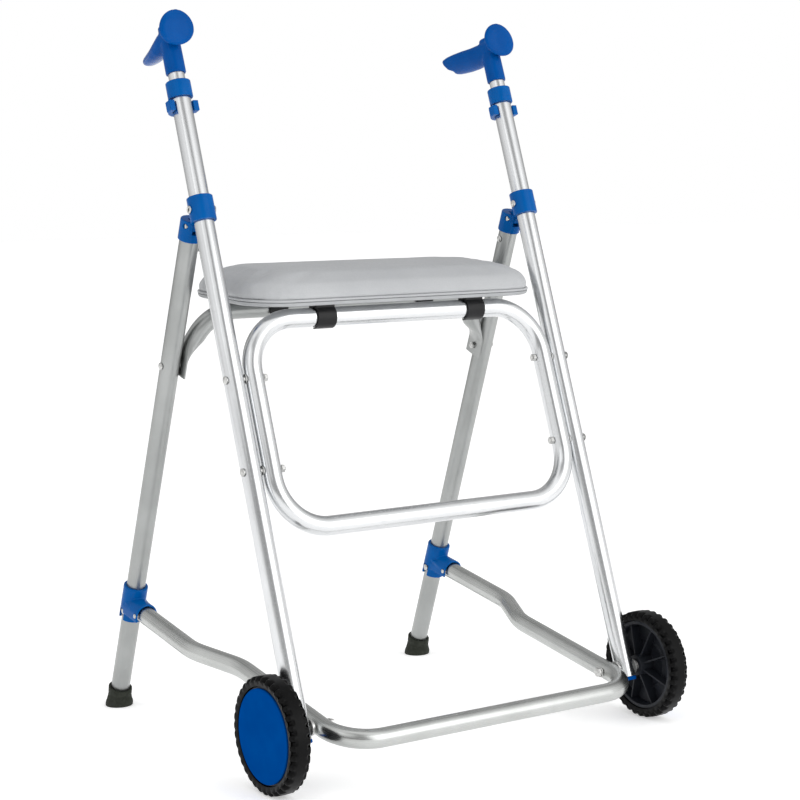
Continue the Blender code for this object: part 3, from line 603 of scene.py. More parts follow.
# ---- blue fittings
def top_sleeve(side, tag):
    origin = AXLE + X * (side * TUBE_X)
    profile = ((0.7849, 0.0157), (0.8065, 0.0157), (0.8065, 0.0108), (0.7889, 0.0108),
               (0.7889, 0.0107), (0.8033, 0.0107), (0.8033, 0.0126), (0.7849, 0.0126))
    bm = lathe(origin, MAIN_UP, X, rounded(profile, 0.0012, 4, True), True, 56)
    made = finish_mesh(f"fine_top_sleeve_{tag}", bm, BLUE)
    place(made, "main_frame", "blue_plastic", f"top_sleeve_{tag}")


def tube_plug(side, tag):
    origin = AXLE + X * (side * TUBE_X)
    profile = ((-0.0176, 0.0118), (-0.0166, 0.0127), (-0.0131, 0.0127),
               (-0.0131, 0.0107), (-0.0071, 0.0107))
    bm = lathe(origin, MAIN_UP, X, rounded(profile, 0.0005, 3), False, 48)
    made = finish_mesh(f"fine_tube_plug_{tag}", bm, COVER_BLUE)
    place(made, "main_frame", "blue_plastic", f"tube_plug_{tag}")


def plate(points, low, high):
    """Flat body between two crosswise positions, with the points as its outline."""
    return skin([[Vector((x, p.y, p.z)) for p in points] for x in (low, high)])


def upper_clamp():
    """Band with a tongue to the hinge, in one rounded moulding (left side)."""
    origin = AXLE + X * TUBE_X
    low, high = 0.6246, 0.6566
    band = cutter(rod(origin, MAIN_UP, X, low + GAP, high - GAP, 0.01635, 64))
    steps = [math.radians(a) for a in range(-150, 31, 12)]
    end = [HINGE + (MAIN_BACK * math.cos(a) + MAIN_UP * math.sin(a)) * 0.0076 for a in steps]
    outline = end + [main_point(high - 0.003), main_point(low + 0.001)]
    tongue = plate(outline, TUBE_X - 0.0048, TUBE_X + 0.0048)
    boolean(band, [cutter(tongue)], "UNION")
    soften(band, 0.0007, 5)
    cuts = [rod(origin, MAIN_UP, X, low - 0.05, high + 0.05, TUBE_R + GAP, 64)]
    cuts += [cross_hole(TUBE_X, at) for at in (HINGE, main_point(CLAMP_AT))]
    boolean(band, [cutter(c) for c in cuts], "DIFFERENCE")
    band.name = "fine_upper_clamp_left"
    return band


def knuckle():
    """Forked cap on the leg, with cheeks on both sides of the tongue (left side)."""
    axis_at = HINGE + LEG_BACK * (leg_point(HINGE.z) - HINGE).dot(LEG_BACK)
    origin = axis_at + X * TUBE_X
    cap = cutter(rod(origin, LEG_UP, X, -0.0206, 0.0066, 0.01485, 64))
    soften(cap, 0.0007, 5)
    cuts = [rod(origin, LEG_UP, X, -0.034, -0.0125, TUBE_R + GAP, 64)]
    slot_axes = (HINGE + X * TUBE_X, X, LEG_BACK, LEG_UP)
    cuts.append(box((-0.0053, -0.04, -0.0098), (0.0053, 0.0098, 0.04), slot_axes))
    cuts.append(rod(AXLE + X * TUBE_X, MAIN_UP, X, 0.58, 0.70, 0.0172, 64))
    cuts.append(cross_hole(TUBE_X, HINGE))
    boolean(cap, [cutter(c) for c in cuts], "DIFFERENCE")
    cap.name = "fine_knuckle_left"
    return cap


def half_turn(radius):
    """Flat points of a half circle."""
    turns = [math.radians(a) for a in range(0, 181, 6)]
    return [(radius * math.cos(a), radius * math.sin(a)) for a in turns]


def arch(pivot, radius, drop, start, end):
    """Hood shape over the side bar: a half round with straight sides."""
    outline = half_turn(radius) + [(-radius, drop), (radius, drop)]
    rows = []
    for at in (start, end):
        rows.append([pivot + BASE_BACK * at + X * p + BASE_UP * q for p, q in outline])
    return skin(rows)


def slide_collar():
    """Sleeve on the leg with the hood over the end of the side bar (left side)."""
    centre = X * TUBE_X
    low = leg_point(COLLAR_LOW_Z) + centre
    length = (leg_point(COLLAR_HIGH_Z) - leg_point(COLLAR_LOW_Z)).length
    pivot = BASE_PIVOT + X * BASE_END_X
    reach = (leg_point(BASE_PIVOT.z).y - BASE_PIVOT.y) / BASE_BACK.y
    body = cutter(rod(low, LEG_UP, X, GAP, length + 0.0030, 0.0163, 64))
    boolean(body, [cutter(arch(pivot, 0.0155, -0.0083, -0.0042, reach - 0.002))], "UNION")
    mouth = ring(pivot - BASE_BACK * 0.0040, X, BASE_UP, 0.0154, 0.0154, 48)
    neck = ring(low + LEG_UP * (length * 0.62), X, -LEG_BACK, 0.0155, 0.0155, 48)
    boolean(body, [cutter(skin([mouth, neck]))], "UNION")
    soften(body, 0.0007, 14)
    cuts = [arch(pivot, 0.0135, -0.0285, -0.0358, 0.0190)]
    cuts.append(rod(low, LEG_UP, X, -0.05, length + 0.05, TUBE_R + GAP, 64))
    cuts.append(cross_hole(BASE_END_X, BASE_PIVOT))
    notch_axes = (leg_point(STOP_Z) + centre, X, LEG_BACK, LEG_UP)
    cuts.append(box((-0.03, -0.0056, -0.03), (0.03, 0.0056, 0.0056), notch_axes))
    boolean(body, [cutter(c) for c in cuts], "DIFFERENCE")
    body.name = "fine_slide_collar_left"
    return body


def height_clip():
    """Snap clip behind the main tube with its peg (left side)."""
    origin = AXLE + X * TUBE_X + MAIN_UP * PEG_AT
    inner, outer = TUBE_R + GAP, TUBE_R + 0.0064
    half_height = 0.0067
    leg_end = -0.006
    outline = half_turn(outer) + [(-outer, leg_end), (-inner, leg_end)]
    outline += half_turn(inner)[::-1] + [(inner, leg_end), (outer, leg_end)]
    rows = []
    for up in (-half_height, half_height):
        rows.append([origin + X * p + MAIN_BACK * q + MAIN_UP * up for p, q in outline])
    clip = cutter(skin(rows))
    boolean(clip, [cutter(rod(origin, MAIN_BACK, X, 0.0107, inner + 0.002, 0.0030))], "UNION")
    for way in (-1, 1):
        near, far = sorted((way * inner, way * (outer + 0.0012)))
        low, high = (near, -0.0064, -half_height), (far, 0.0048, half_height)
        block = box(low, high, (origin, X, MAIN_BACK, MAIN_UP))
        boolean(clip, [cutter(block)], "UNION")
    soften(clip, 0.0006, 4)
    clip.name = "fine_height_clip_left"
    return clip


def grip():
    """Anatomical grip: stem, domed front knob and a palm wing with a notched end (left side)."""
    origin = AXLE + X * TUBE_X

    def spot(inwards, back, up):
        return origin + MAIN_BACK * back + MAIN_UP * up - X * inwards

    stem_profile = ((0.8175, 0.0128), (0.835, 0.0127), (0.855, 0.0124), (0.880, 0.0122))
    stem = cutter(lathe(origin, MAIN_UP, X, stem_profile, False, 56))
    # inwards, back, up, half width, half height and twist in degrees
    stations = ((0.000, -0.0200, 0.8695, 0.0125, 0.0125, 0), (0.000, -0.0061, 0.8670, 0.0138, 0.0130, -6),
                (0.001, 0.0109, 0.8645, 0.0165, 0.0125, -16), (0.003, 0.0240, 0.8640, 0.0190, 0.0115, -24),
                (0.006, 0.0380, 0.8650, 0.0205, 0.0105, -28), (0.009, 0.0520, 0.8665, 0.0205, 0.0098, -29),
                (0.0115, 0.0640, 0.8680, 0.0198, 0.0090, -28), (0.0132, 0.0738, 0.8690, 0.0180, 0.0082, -26))
    rows = []
    for inwards, back, up, wide, tall, twist in stations:
        a = math.radians(twist)
        u = X * math.cos(a) + MAIN_UP * math.sin(a)
        v = MAIN_UP * math.cos(a) - X * math.sin(a)
        rows.append(ring(spot(inwards, back, up), u, v, wide, tall, 40))
    palm = cutter(skin(rows))
    droop = math.radians(8)
    facing = -MAIN_BACK * math.cos(droop) - MAIN_UP * math.sin(droop)
    up = X.cross(facing).normalized()
    up = up if up.z > 0 else -up
    knob_at = spot(-0.001, -0.0200, 0.8690)
    tilt = math.radians(28)
    u = X * math.cos(tilt) - up * math.sin(tilt)
    v = up * math.cos(tilt) + X * math.sin(tilt)
    rows = []
    dome = ((-0.0060, 0.0120), (-0.0025, 0.0190), (0.0005, 0.0232), (0.0025, 0.0246),
            (0.0042, 0.0246), (0.0060, 0.0226), (0.0074, 0.0180), (0.0082, 0.0100))
    for at, r in dome:
        points = []
        for k in range(56):
            a = 2 * math.pi * k / 56
            egg = 1 + 0.035 * math.cos(a - 2.4) + 0.02 * math.cos(3 * a + 0.4)
            spoke = u * math.cos(a) + v * math.sin(a) * 0.90
            points.append(knob_at + facing * at + spoke * (r * egg))
        rows.append(points)
    knob = cutter(skin(rows))
    boolean(stem, [palm, knob], "UNION")
    slant = math.radians(26)
    through = MAIN_UP * math.cos(slant) + X * math.sin(slant)
    notch = rod(spot(0.0132, 0.0765, 0.8680), through, MAIN_BACK, -0.03, 0.03, 0.0055, 32)
    boolean(stem, [cutter(notch)], "DIFFERENCE")
    soften(stem, 0.0010, 10)
    bore = cutter(rod(origin, MAIN_UP, X, 0.79, 0.8583, 0.0106, 56))
    boolean(stem, [bore], "DIFFERENCE")
    stem.name = "fine_grip_left"
    return stem


def pair(made, body, node, material):
    """Both sides of a blue moulding from its left one."""
    paint(made, material)
    other = mirrored(made, made.name.replace("_left", "_right"))
    for item, tag in ((made, "left"), (other, "right")):
        sharpen(item, MOULDED_EDGE_ANGLE)
        place(item, body.replace("SIDE", tag), "blue_plastic", f"{node}_{tag}")


pair(upper_clamp(), "main_frame", "upper_clamp", BLUE)
pair(knuckle(), "rear_frame", "knuckle", BLUE)
pair(slide_collar(), "collars", "slide_collar", BLUE)
pair(height_clip(), "height_clip_SIDE_body", "height_clip", BLUE)
pair(grip(), "handle_SIDE", "grip", GRIP_BLUE)


# ---- bolts and pins
def fastener(node, at, side, profile, body):
    """Turned bolt, pin or rivet in the place of one CAD node."""
    bm = cross_lathe(at, side, rounded(profile, 0.0005, 3), False, 40)
    place(finish_mesh(f"fine_{node}", bm, STEEL), body, "zinc_steel", node)


def hex_nut(name, at, side, near, far, radius, body):
    """Nut with rounded edges, on the inner end of a bolt."""
    origin = Vector((0, at.y, at.z))
    rows = []
    for x in (near, far):
        centre = origin + X * (side * x)
        rows.append(ring(centre, Y, Z, radius, radius, 6))
    made = finish_mesh(name, skin(rows), STEEL, 30)
    bevel = made.modifiers.new("edge", "BEVEL")
    bevel.width = 0.0005
    bevel.segments = 3
    apply_modifiers(made)
    place(made, body, "zinc_steel")


def clamp_rivet(side, tag):
    """Tubular rivet with a flare on both sides of the clamp."""
    out = TUBE_X + 0.0168
    into = TUBE_X - 0.0168
    profile = ((into - 0.0020, 0.0032), (into - 0.0012, 0.0047), (into, 0.0048), (into, PIN_R),
               (out, PIN_R), (out, 0.0050), (out + 0.0012, 0.0049), (out + 0.0020, 0.0032),
               (out + 0.0012, 0.0019), (out - 0.006, 0.0018))
    fastener(f"clamp_rivet_{tag}", main_point(CLAMP_AT), side, profile, "main_frame")


def hinge_pin(side, tag):
    low, high = TUBE_X - 0.0130, TUBE_X + 0.0130
    profile = ((low, PIN_R), (high - 0.0004, PIN_R), (high, 0.0024))
    fastener(f"hinge_pin_{tag}", HINGE, side, profile, "main_frame")


def hoop_bolt(side, tag, level, distance):
    """Bolt with a domed head outside, a spacer between the tubes and a nut inside."""
    head = TUBE_X + TUBE_R + GAP
    spacer_in = HOOP_X + HOOP_R + GAP
    spacer_out = TUBE_X - TUBE_R - GAP
    nut = HOOP_X - HOOP_R - GAP
    here = main_point(distance) - MAIN_BACK * HOOP_FORWARD
    profile = ((nut - 0.006, 0.0026), (nut - 0.006, PIN_R), (nut, PIN_R), (spacer_in, PIN_R),
               (spacer_in, 0.0060), (spacer_out, 0.0060), (spacer_out, PIN_R), (head, PIN_R),
               (head, 0.0052), (head + 0.0012, 0.0049), (head + 0.0022, 0.0036),
               (head + 0.0026, 0.0016))
    fastener(f"hoop_bolt_{level}_{tag}", here, side, profile, "main_frame")
    hex_nut(f"hoop_nut_{level}_{tag}", here, side, nut - 0.0048, nut, 0.0052, "main_frame")


def knuckle_rivet(side, tag):
    face = TUBE_X - TUBE_R
    profile = ((face - 0.0025, 0.0018), (face - 0.0021, 0.0032), (face - 0.0012, 0.0045),
               (face - GAP, 0.0046), (face - GAP, PIN_R), (face + 0.003, PIN_R))
    fastener(f"knuckle_rivet_{tag}", leg_point(KNUCKLE_RIVET_Z), side, profile, "rear_frame")


def leg_bolt(side, tag, node, z, inner):
    """Bolt across the rear leg with a domed head outside and a nut on the inner face."""
    head = TUBE_X + TUBE_R + GAP
    nut = inner - GAP
    profile = ((nut - 0.0040, 0.0026), (nut - 0.0038, PIN_R), (nut, PIN_R), (head, PIN_R),
               (head, 0.0048), (head + 0.0011, 0.0045), (head + 0.0020, 0.0034),
               (head + 0.0024, 0.0015))
    fastener(f"{node}_{tag}", leg_point(z), side, profile, "rear_frame")
    hex_nut(f"{node}_nut_{tag}", leg_point(z), side, nut - 0.0034, nut, 0.0050, "rear_frame")


def collar_pin(side, tag):
    low, high = BASE_END_X - 0.0167, BASE_END_X + 0.0167
    profile = ((low, 0.0024), (low + 0.0004, PIN_R), (high - 0.0004, PIN_R), (high, 0.0024))
    fastener(f"collar_pin_{tag}", BASE_PIVOT, side, profile, "collars")


def axle(side, tag):
    """Axle with its washer beside the tube; the wheel cover hides its end."""
    shaft = 0.0040
    washer = TUBE_X + TUBE_R + GAP
    head = WHEEL_X + 0.008
    profile = ((TUBE_X - TUBE_R + 0.0001, shaft), (washer, shaft), (washer, 0.0095),
               (washer + 0.0026, 0.0095), (washer + 0.0026, shaft), (head, shaft),
               (head, 0.0060), (head + 0.0014, 0.0060))
    fastener(f"axle_{tag}", AXLE, side, profile, "main_frame")


def base_pivot(side, tag):
    """Inner end of the axle line: spacer, bolt end and nut of the base tube."""
    shaft = 0.0040
    outer = TUBE_X - TUBE_R - GAP
    spacer = BASE_X + BASE_R + GAP
    nut = BASE_X - BASE_R - GAP
    profile = ((nut - 0.0060, 0.0034), (nut - 0.0056, shaft), (nut - 0.0016, shaft),
               (nut - 0.0016, 0.0069), (nut, 0.0070), (nut, shaft), (spacer, shaft),
               (spacer, 0.0100), (outer, 0.0100))
    fastener(f"base_pivot_{tag}", AXLE, side, profile, "base_frame")
    hex_nut(f"base_nut_{tag}", AXLE, side, nut - 0.0054, nut - 0.0017, 0.0064, "base_frame")


for side, tag in SIDE_NAMES:
    top_sleeve(side, tag)
    tube_plug(side, tag)
    clamp_rivet(side, tag)
    hinge_pin(side, tag)
    hoop_bolt(side, tag, "lower", 0.3096)
    hoop_bolt(side, tag, "upper", 0.4234)
    knuckle_rivet(side, tag)
    leg_bolt(side, tag, "stop_bolt", STOP_Z, TUBE_X - TUBE_R)
    leg_bolt(side, tag, "rear_hoop_bolt", REAR_HOOP_Z, 0.2298)
    collar_pin(side, tag)
    axle(side, tag)
    base_pivot(side, tag)


# ---- wheels and feet
def tyre(side, tag):
    """Solid tyre with scalloped lugs along both shoulders that run on into the side walls."""
    lugs = 36
    half = 0.014
    # depth, radius and share of the lug pattern, from the tread inwards
    wall = ((0.0004, 0.0652, 1), (0.0007, 0.0628, 0.6), (0.0012, 0.0605, 0), (0.0020, 0.0583, 0))
    profile = []
    for k in range(29):
        t = -1 + 2 * k / 28
        profile.append((t, WHEEL_R - 0.0006 * t * t - 0.0050 * max(abs(t) - 0.72, 0) ** 1.5 / 0.148))
    around = lugs * 14
    rows = []
    for i in range(around):
        a = 2 * math.pi * i / around
        turn = Vector((0, math.cos(a), math.sin(a)))
        points = []
        for t, radius in profile:
            wave = math.cos(lugs * a + (math.pi if t * side > 0 else 0))
            valley = (0.5 - 0.5 * wave) ** 2
            shoulder = share(abs(t), 0.42, 0.28)
            r = radius - 0.0046 * valley * shoulder
            pinch = 0.0030 * valley * share(abs(t), 0.75, 0.25)
            x = side * (WHEEL_X + t * half) - math.copysign(pinch, t * side)
            points.append(Vector((x, AXLE.y, AXLE.z)) + turn * r)
        for way, walls, shift in ((1, wall, 0), (-1, wall[::-1], math.pi)):
            dent = (0.5 - 0.5 * math.cos(lugs * a + shift)) ** 2
            for depth, radius, part in walls:
                x = side * (WHEEL_X + way * (half - depth - 0.0009 * part * dent))
                points.append(Vector((x, AXLE.y, AXLE.z)) + turn * radius)
        rows.append(points)
    made = finish_mesh(f"fine_tyre_{tag}", skin(rows, True), TYRE, 60)
    place(made, f"wheel_{tag}", "tyre_rubber", f"tyre_{tag}")


def rim(side, tag):
    """Rim with a stepped web, a hub and eight ribs, and the cover disc and bush in it."""
    edge = 0.0577
    inside = WHEEL_X - 0.0105
    outside = WHEEL_X + 0.0095
    web = WHEEL_X + 0.003
    hub = 0.013
    hub_end = WHEEL_X - 0.019
    bore = 0.0068
    profile = ((inside, edge), (outside, edge), (outside, edge - 0.003), (web + 0.003, edge - 0.003),
               (web + 0.003, hub), (outside - 0.002, hub), (outside - 0.002, bore), (hub_end, bore),
               (hub_end, hub), (web - 0.0002, hub + 0.0012), (web, 0.0300), (web - 0.0015, 0.0306),
               (web - 0.0015, 0.0325), (web, 0.0331), (web, edge - 0.0062),
               (inside + 0.0012, edge - 0.0048), (inside, edge - 0.0042))
    origin = Vector((0, AXLE.y, AXLE.z))
    bm = lathe(origin, X * side, -Z, rounded(profile, 0.0006, 3, True), True, 96)
    body = finish_mesh(f"fine_rim_{tag}", bm, RIM_BLACK)
    place(body, f"wheel_{tag}", "black_plastic", f"wheel_rim_{tag}")
    for number in range(8):
        turn = math.radians(22.5 + 45 * number)
        out = Vector((0, math.cos(turn), math.sin(turn)))
        across = (X * side).cross(out)
        rows = []
        for k in range(9):
            t = k / 8
            r = 0.0112 + (edge - 0.0052 - 0.0112) * t
            top = WHEEL_X - 0.0150 + 0.0065 * t
            thick = 0.0012 - 0.0002 * t
            section = ((-thick, web + 0.0005), (thick, web + 0.0005), (thick * 0.9, top + 0.0004),
                       (thick * 0.5, top), (-thick * 0.5, top), (-thick * 0.9, top + 0.0004))
            rows.append([origin + out * r + across * p + X * (side * q) for p, q in section])
        rib = finish_mesh(f"rim_rib_{number}_{tag}", skin(rows), RIM_BLACK)
        place(rib, f"wheel_{tag}", "black_plastic")
    cap = WHEEL_X + 0.014
    profile = ((cap - 0.0042, 0.0010), (cap - 0.0042, 0.0560), (cap - 0.0018, 0.0560),
               (cap - 0.0010, 0.0552), (cap - 0.0009, 0.0530), (cap - 0.0007, 0.045),
               (cap - 0.0004, 0.032), (cap - 0.0002, 0.018), (cap, 0.004), (cap, 0.0010))
    bm = lathe(origin, X * side, -Z, rounded(profile, 0.0006, 3), False, 112)
    cover = finish_mesh(f"fine_cover_{tag}", bm, COVER_BLUE)
    place(cover, f"wheel_{tag}", "blue_plastic", f"wheel_cover_{tag}")
    low, high = hub_end - 0.0005, outside - 0.0018
    profile = ((low, 0.0064), (high, 0.0064), (high, 0.0043), (low, 0.0043))
    bush = finish_mesh(f"fine_bush_{tag}", cross_lathe(AXLE, side, profile, True, 40), NYLON)
    place(bush, f"wheel_{tag}", "white_nylon", f"wheel_bush_{tag}")


def foot(side, tag):
    """Flared rubber foot with a soft groove and a level sole."""
    axis_point = leg_point(0.0270) + X * (side * TUBE_X)
    sole = Vector((side * TUBE_X, 0.26745, 0))
    full = 0.0275
    bore, rim_edge = 0.0130, 0.0155
    sides = 56
    # height, radius and share of the leg's lean
    outer = ((0.0, 0.0179, 0.0), (0.0008, 0.01855, 0.0), (0.0022, 0.01875, 0.0),
             (0.0050, 0.01865, 0.03), (0.0075, 0.0181, 0.10), (0.0100, 0.0172, 0.25),
             (0.0130, 0.0164, 0.45), (0.0160, 0.0160, 0.65), (0.0175, 0.0155, 0.72),
             (0.0190, 0.0159, 0.80), (0.0240, 0.0160, 1.0), (0.0268, 0.0160, 1.0),
             (full, rim_edge, 1.0))
    rows = []
    for height, radius, lean in outer:
        middle = sole.lerp(axis_point, height / full)
        back = (Y * (1 - lean) + LEG_BACK * lean).normalized()
        rows.append(ring(middle, X, back, radius, radius, sides))
    top = rows[-1]
    middle = sum(top, Vector()) / sides
    rows.append([middle + (p - middle) * (bore / rim_edge) for p in top])
    rows.append([middle - LEG_UP * 0.012 + (p - middle) * (bore / rim_edge) for p in top])
    made = finish_mesh(f"fine_foot_{tag}", skin(rows), RUBBER)
    place(made, "rear_frame", "foot_rubber", f"foot_{tag}")


for side, tag in SIDE_NAMES:
    tyre(side, tag)
    rim(side, tag)
    foot(side, tag)


# ---- seat
SEAT_OFFSET = 0.0055
SEAT_WIDE = 0.222
SEAT_FRONT = -0.023
SEAT_REAR = 0.172
SEAT_LIFT = 0.0168


def seat_ring(inset, height, steps=12):
    """Rounded outline of the seat, set in from its edge, at a height over the bars."""
    wide = SEAT_WIDE - inset
    corners = [Vector((wide, SEAT_FRONT + inset)), Vector((wide, SEAT_REAR - inset)),
               Vector((-wide, SEAT_REAR - inset)), Vector((-wide, SEAT_FRONT + inset))]
    outline = fillet(corners, [max(0.055 - inset * 0.6, 0.012)] * 4, steps, True)
    full = []
    for a, b in zip(outline, outline[1:] + outline[:1]):
        count = max(1, round((b - a).length / 0.009))
        full += [a.lerp(b, k / count) for k in range(count)]
    origin = FRONT_BAR + X * SEAT_OFFSET + SEAT_UP * height
    return [origin + X * p.x + SEAT_BACK * p.y for p in full]


def loft_cap(rows):
    """Closed body over rings with different numbers of points, by filling between them."""
    bm = bmesh.new()
    loops = []
    for points in rows:
        verts = [bm.verts.new(p) for p in points]
        loops.append([bm.edges.new((verts[i], verts[(i + 1) % len(verts)])) for i in range(len(verts))])
    for low, high in zip(loops, loops[1:]):
        bmesh.ops.bridge_loops(bm, edges=low + high)
    bmesh.ops.contextual_create(bm, geom=loops[0])
    bmesh.ops.contextual_create(bm, geom=loops[-1])
    return bm


def cushion():
    """Foam pad under stretched vinyl: remeshed, swollen by cloth pressure, then capped."""
    low = SEAT_LIFT + 0.0056
    limit = 0.0032
    steps = 20
    levels = ((0.0045, low), (0.0020, low + 0.0030), (0.0022, low + 0.013), (0.0085, low + 0.0235),
              (0.022, low + 0.0300), (0.042, low + 0.0325), (0.070, low + 0.0333))
    pad = finish_mesh("fine_seat_pad", loft_cap([seat_ring(i, h) for i, h in levels]), VINYL, 0)
    remesh(pad, 0.0045)
    apply_modifiers(pad)
    rest = [v.co.copy() for v in pad.data.vertices]
    base = FRONT_BAR + SEAT_UP * (low + 0.0035)
    group = pad.vertex_groups.new(name="held")
    held = [i for i, p in enumerate(rest) if (p - base).dot(SEAT_UP) < 0]
    group.add(held, 1.0, "REPLACE")
    cloth = pad.modifiers.new("cloth", "CLOTH")
    cloth.settings.quality = 6
    cloth.settings.mass = 0.25
    cloth.settings.tension_stiffness = 18
    cloth.settings.compression_stiffness = 18
    cloth.settings.bending_stiffness = 0.8
    cloth.settings.use_pressure = True
    cloth.settings.uniform_pressure_force = 4
    cloth.settings.vertex_group_mass = "held"
    cloth.settings.effector_weights.gravity = 0
    cloth.point_cache.frame_start = 1
    cloth.point_cache.frame_end = steps
    for number in range(1, steps + 1):
        bpy.context.scene.frame_set(number)
    apply_modifiers(pad)
    pad.vertex_groups.clear()
    bpy.context.scene.frame_set(1)
    for vertex, before in zip(pad.data.vertices, rest):
        moved = vertex.co - before
        if moved.length > limit:
            vertex.co = before + moved.normalized() * limit
    smooth(pad, 6)
    fine = pad.modifiers.new("fine", "SUBSURF")
    fine.levels = 1
    fine.render_levels = 1
    apply_modifiers(pad)
    paint(pad, VINYL)
    pad.data.shade_smooth()
    return pad


pad = cushion()
place(pad, "seat", "grey_vinyl", "seat_pad")

hem_line = seat_ring(0.0030, SEAT_LIFT + 0.0068, 16)
hem = finish_mesh("seat_hem", pipe(hem_line, SEAT_UP, 0.0016, True, sides=12), VINYL, 0)
place(hem, "seat", "grey_vinyl")

board_levels = ((0.0045, 0.0), (0.0030, 0.0010), (0.0020, 0.0045), (0.0040, 0.0052))
board_rings = [seat_ring(inset, SEAT_LIFT + rise, 16) for inset, rise in board_levels]
board = finish_mesh("fine_seat_board", skin(board_rings), BOARD)
place(board, "seat", "grey_board", "seat_board")


def seat_clip(name, bar, x, front_angle, rear_angle, reach, clearance, lip):
    """Half-open clip round a bar, with a block up to the board and a straight lip or none."""
    inner = HOOP_R + clearance
    outer = HOOP_R + 0.0026
    half_width = 0.0138
    steps = 36
    sweep = front_angle + rear_angle
    turns = [math.radians(-front_angle + sweep * i / steps) for i in range(steps + 1)]
    arc = [(math.sin(a), math.cos(a)) for a in turns]
    outline = [(s * outer, c * outer) for s, c in arc]
    outline += [(s * inner, c * inner) for s, c in arc[::-1]]

    def solid(points):
        rows = []
        for across in (-half_width, half_width):
            centre = bar + X * (x + across)
            rows.append([centre + SEAT_BACK * p + SEAT_UP * q for p, q in points])
        return cutter(skin(rows))

    clip = solid(outline)
    if lip:
        corners = [(-outer, -lip), (-outer, 0.001), (-inner, 0.001), (-inner, -lip)]
        boolean(clip, [solid(corners)], "UNION")
    near, far = reach
    top, low = SEAT_LIFT - GAP, inner + GAP
    boolean(clip, [solid([(near, top), (far, top), (far, low), (near, low)])], "UNION")
    soften(clip, 0.0006, 3)
    clip.name = f"fine_{name}"
    paint(clip, BLACK)
    sharpen(clip, MOULDED_EDGE_ANGLE)
    place(clip, "seat", "black_plastic", name)


for side, tag in SIDE_NAMES:
    clip_x = 0.0060 + side * 0.1145
    seat_clip(f"front_clip_{tag}", FRONT_BAR, clip_x, 175, 75, (-0.008, 0.034), 0.0004, 0)
    seat_clip(f"rear_clip_{tag}", REAR_BAR, clip_x, 90, 108, (-0.030, 0.016), 0.0008, 0.0085)


# ---- floor, light and camera
def floor_surface():
    """Pale studio floor with a faint glow of its own, so that it comes out near white."""
    s = Surface("pale_floor", (0.9, 0.9, 0.9), 0.7)
    s.colour(s.mix(s.noise(2.0, 3), (0.93, 0.93, 0.93), (0.96, 0.96, 0.96)))
    s.rough(s.spread(s.noise(60, 3), 0.3, 0.7, 0.62, 0.72))
    s.shader.inputs["Emission Color"].default_value = (1, 1, 1, 1)
    s.shader.inputs["Emission Strength"].default_value = 0.40
    return s.made


def floor():
    bm = bmesh.new()
    bmesh.ops.create_grid(bm, x_segments=2, y_segments=2, size=30)
    made = finish_mesh("floor", bm, floor_surface(), 0)


bpy.context.scene.view_settings.view_transform = "Standard"
floor()

# level direction from the object to the camera, for the bands of the surround
TO_CAMERA = Vector((-0.5435, -0.8394, 0.0))


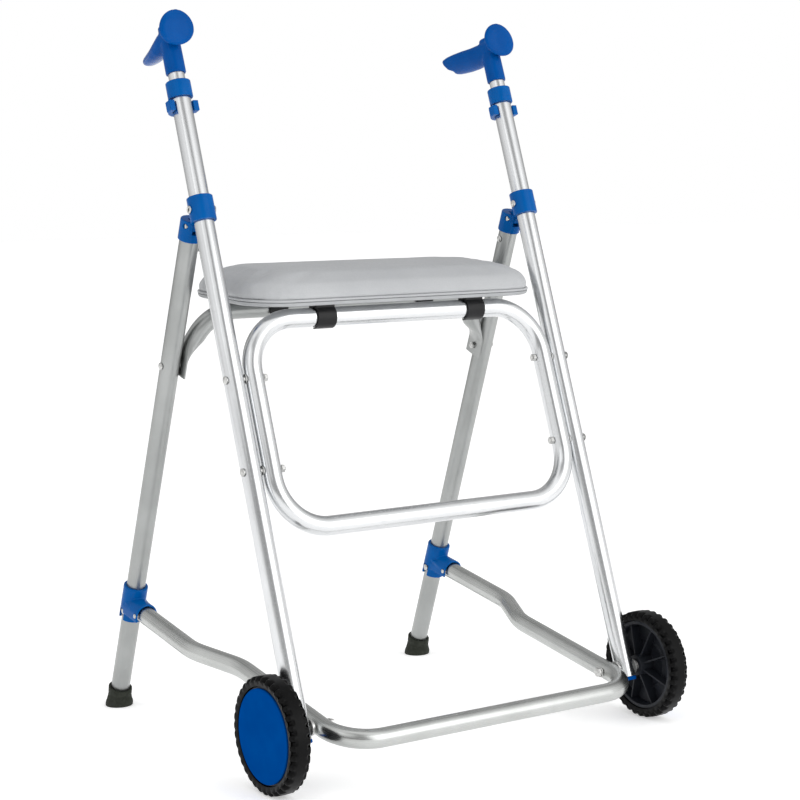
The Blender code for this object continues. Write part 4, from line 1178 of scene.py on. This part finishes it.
def studio_world():
    """White surround with fixed darker upright bands on the camera's side and opposite it.

    Rays that reach the camera straight from the surround see plain white.
    """
    world = bpy.data.worlds.new("studio")
    bpy.context.scene.world = world
    nodes = Nodes(world)
    background = nodes.tree.nodes["Background"]

    way = nodes.add("ShaderNodeTexCoord")
    level = nodes.add("ShaderNodeVectorMath", operation="MULTIPLY")
    level.inputs[1].default_value = (1, 1, 0.25)
    unit = nodes.add("ShaderNodeVectorMath", operation="NORMALIZE")
    nodes.join(way.outputs["Generated"], level.inputs[0])
    nodes.join(level.outputs["Vector"], unit.inputs[0])

    def along(direction):
        """How far a ray points the given way, from -1 to 1, with its height played down."""
        dot = nodes.add("ShaderNodeVectorMath", operation="DOT_PRODUCT")
        dot.inputs[1].default_value = direction
        nodes.join(unit.outputs["Vector"], dot.inputs[0])
        return dot.outputs["Value"]

    ramp = nodes.add("ShaderNodeValToRGB")
    ramp.color_ramp.interpolation = "EASE"
    # from the side opposite the camera to the camera's side
    stops = ((0.0, 0.50), (0.08, 0.42), (0.22, 0.62), (0.42, 1.0),
             (0.72, 1.30), (0.86, 1.15), (0.955, 0.50), (1.0, 0.38))
    while len(ramp.color_ramp.elements) < len(stops):
        ramp.color_ramp.elements.new(0.5)
    for element, (at, value) in zip(ramp.color_ramp.elements, stops):
        element.position = at
        element.color = (value, value, value, 1)
    nodes.join(nodes.spread(along(TO_CAMERA), -1, 1, 0, 1), ramp.inputs["Fac"])

    dim = nodes.add("ShaderNodeMix", data_type="RGBA", blend_type="MULTIPLY")
    dim.inputs["Factor"].default_value = 1
    nodes.join(ramp.outputs["Color"], dim.inputs[6])
    nodes.join(nodes.spread(along((-0.96, 0.28, 0)), 0.55, 0.95, 1.0, 0.80), dim.inputs[7])

    mix = nodes.add("ShaderNodeMix", data_type="RGBA")
    seen = nodes.add("ShaderNodeLightPath")
    nodes.join(seen.outputs["Is Camera Ray"], mix.inputs["Factor"])
    nodes.join(dim.outputs[2], mix.inputs[6])
    mix.inputs[7].default_value = (1, 1, 1, 1)
    nodes.join(mix.outputs[2], background.inputs["Color"])
    background.inputs["Strength"].default_value = 1.0


def area(name, at, target, size, power):
    """Area light that faces its target."""
    light = bpy.data.lights.new(name, "AREA")
    light.shape = "RECTANGLE"
    light.size, light.size_y = size
    light.energy = power
    made = link(name, light)
    made.location = at
    made.rotation_mode = "QUATERNION"
    made.rotation_quaternion = (Vector(target) - Vector(at)).to_track_quat("-Z", "Y")


studio_world()
area("key", (0.9, -3.2, 1.5), (0, 0, 0.45), (3.0, 3.0), 34)
area("fill", (-2.4, -1.6, 2.4), (0, 0, 0.4), (2.0, 2.0), 8)

# the camera stands in front, towards the right-hand side (-X) of the person who walks
tilt = math.radians(1.19)
yaw, pitch, roll = 0.6015, 0.1159, -0.0039
ahead = Vector((math.sin(yaw) * math.cos(pitch), math.cos(yaw) * math.cos(pitch), -math.sin(pitch)))
right = Vector((math.cos(yaw), -math.sin(yaw), 0))
up = right.cross(ahead)
right, up = right * math.cos(roll) + up * math.sin(roll), up * math.cos(roll) - right * math.sin(roll)
turn = Matrix.Rotation(tilt, 3, "X")
right, up, ahead = turn @ right, turn @ up, turn @ ahead
lens = bpy.data.cameras.new("camera")
camera = link("camera", lens)
basis = Matrix((right, up, -ahead)).transposed().to_4x4()
basis.translation = Vector((-1.398, -2.1616, 0.6881))
camera.matrix_world = basis
lens.sensor_width = 36
lens.lens = 88.755
lens.shift_x = -0.0275
lens.shift_y = -0.0103
bpy.context.scene.camera = camera
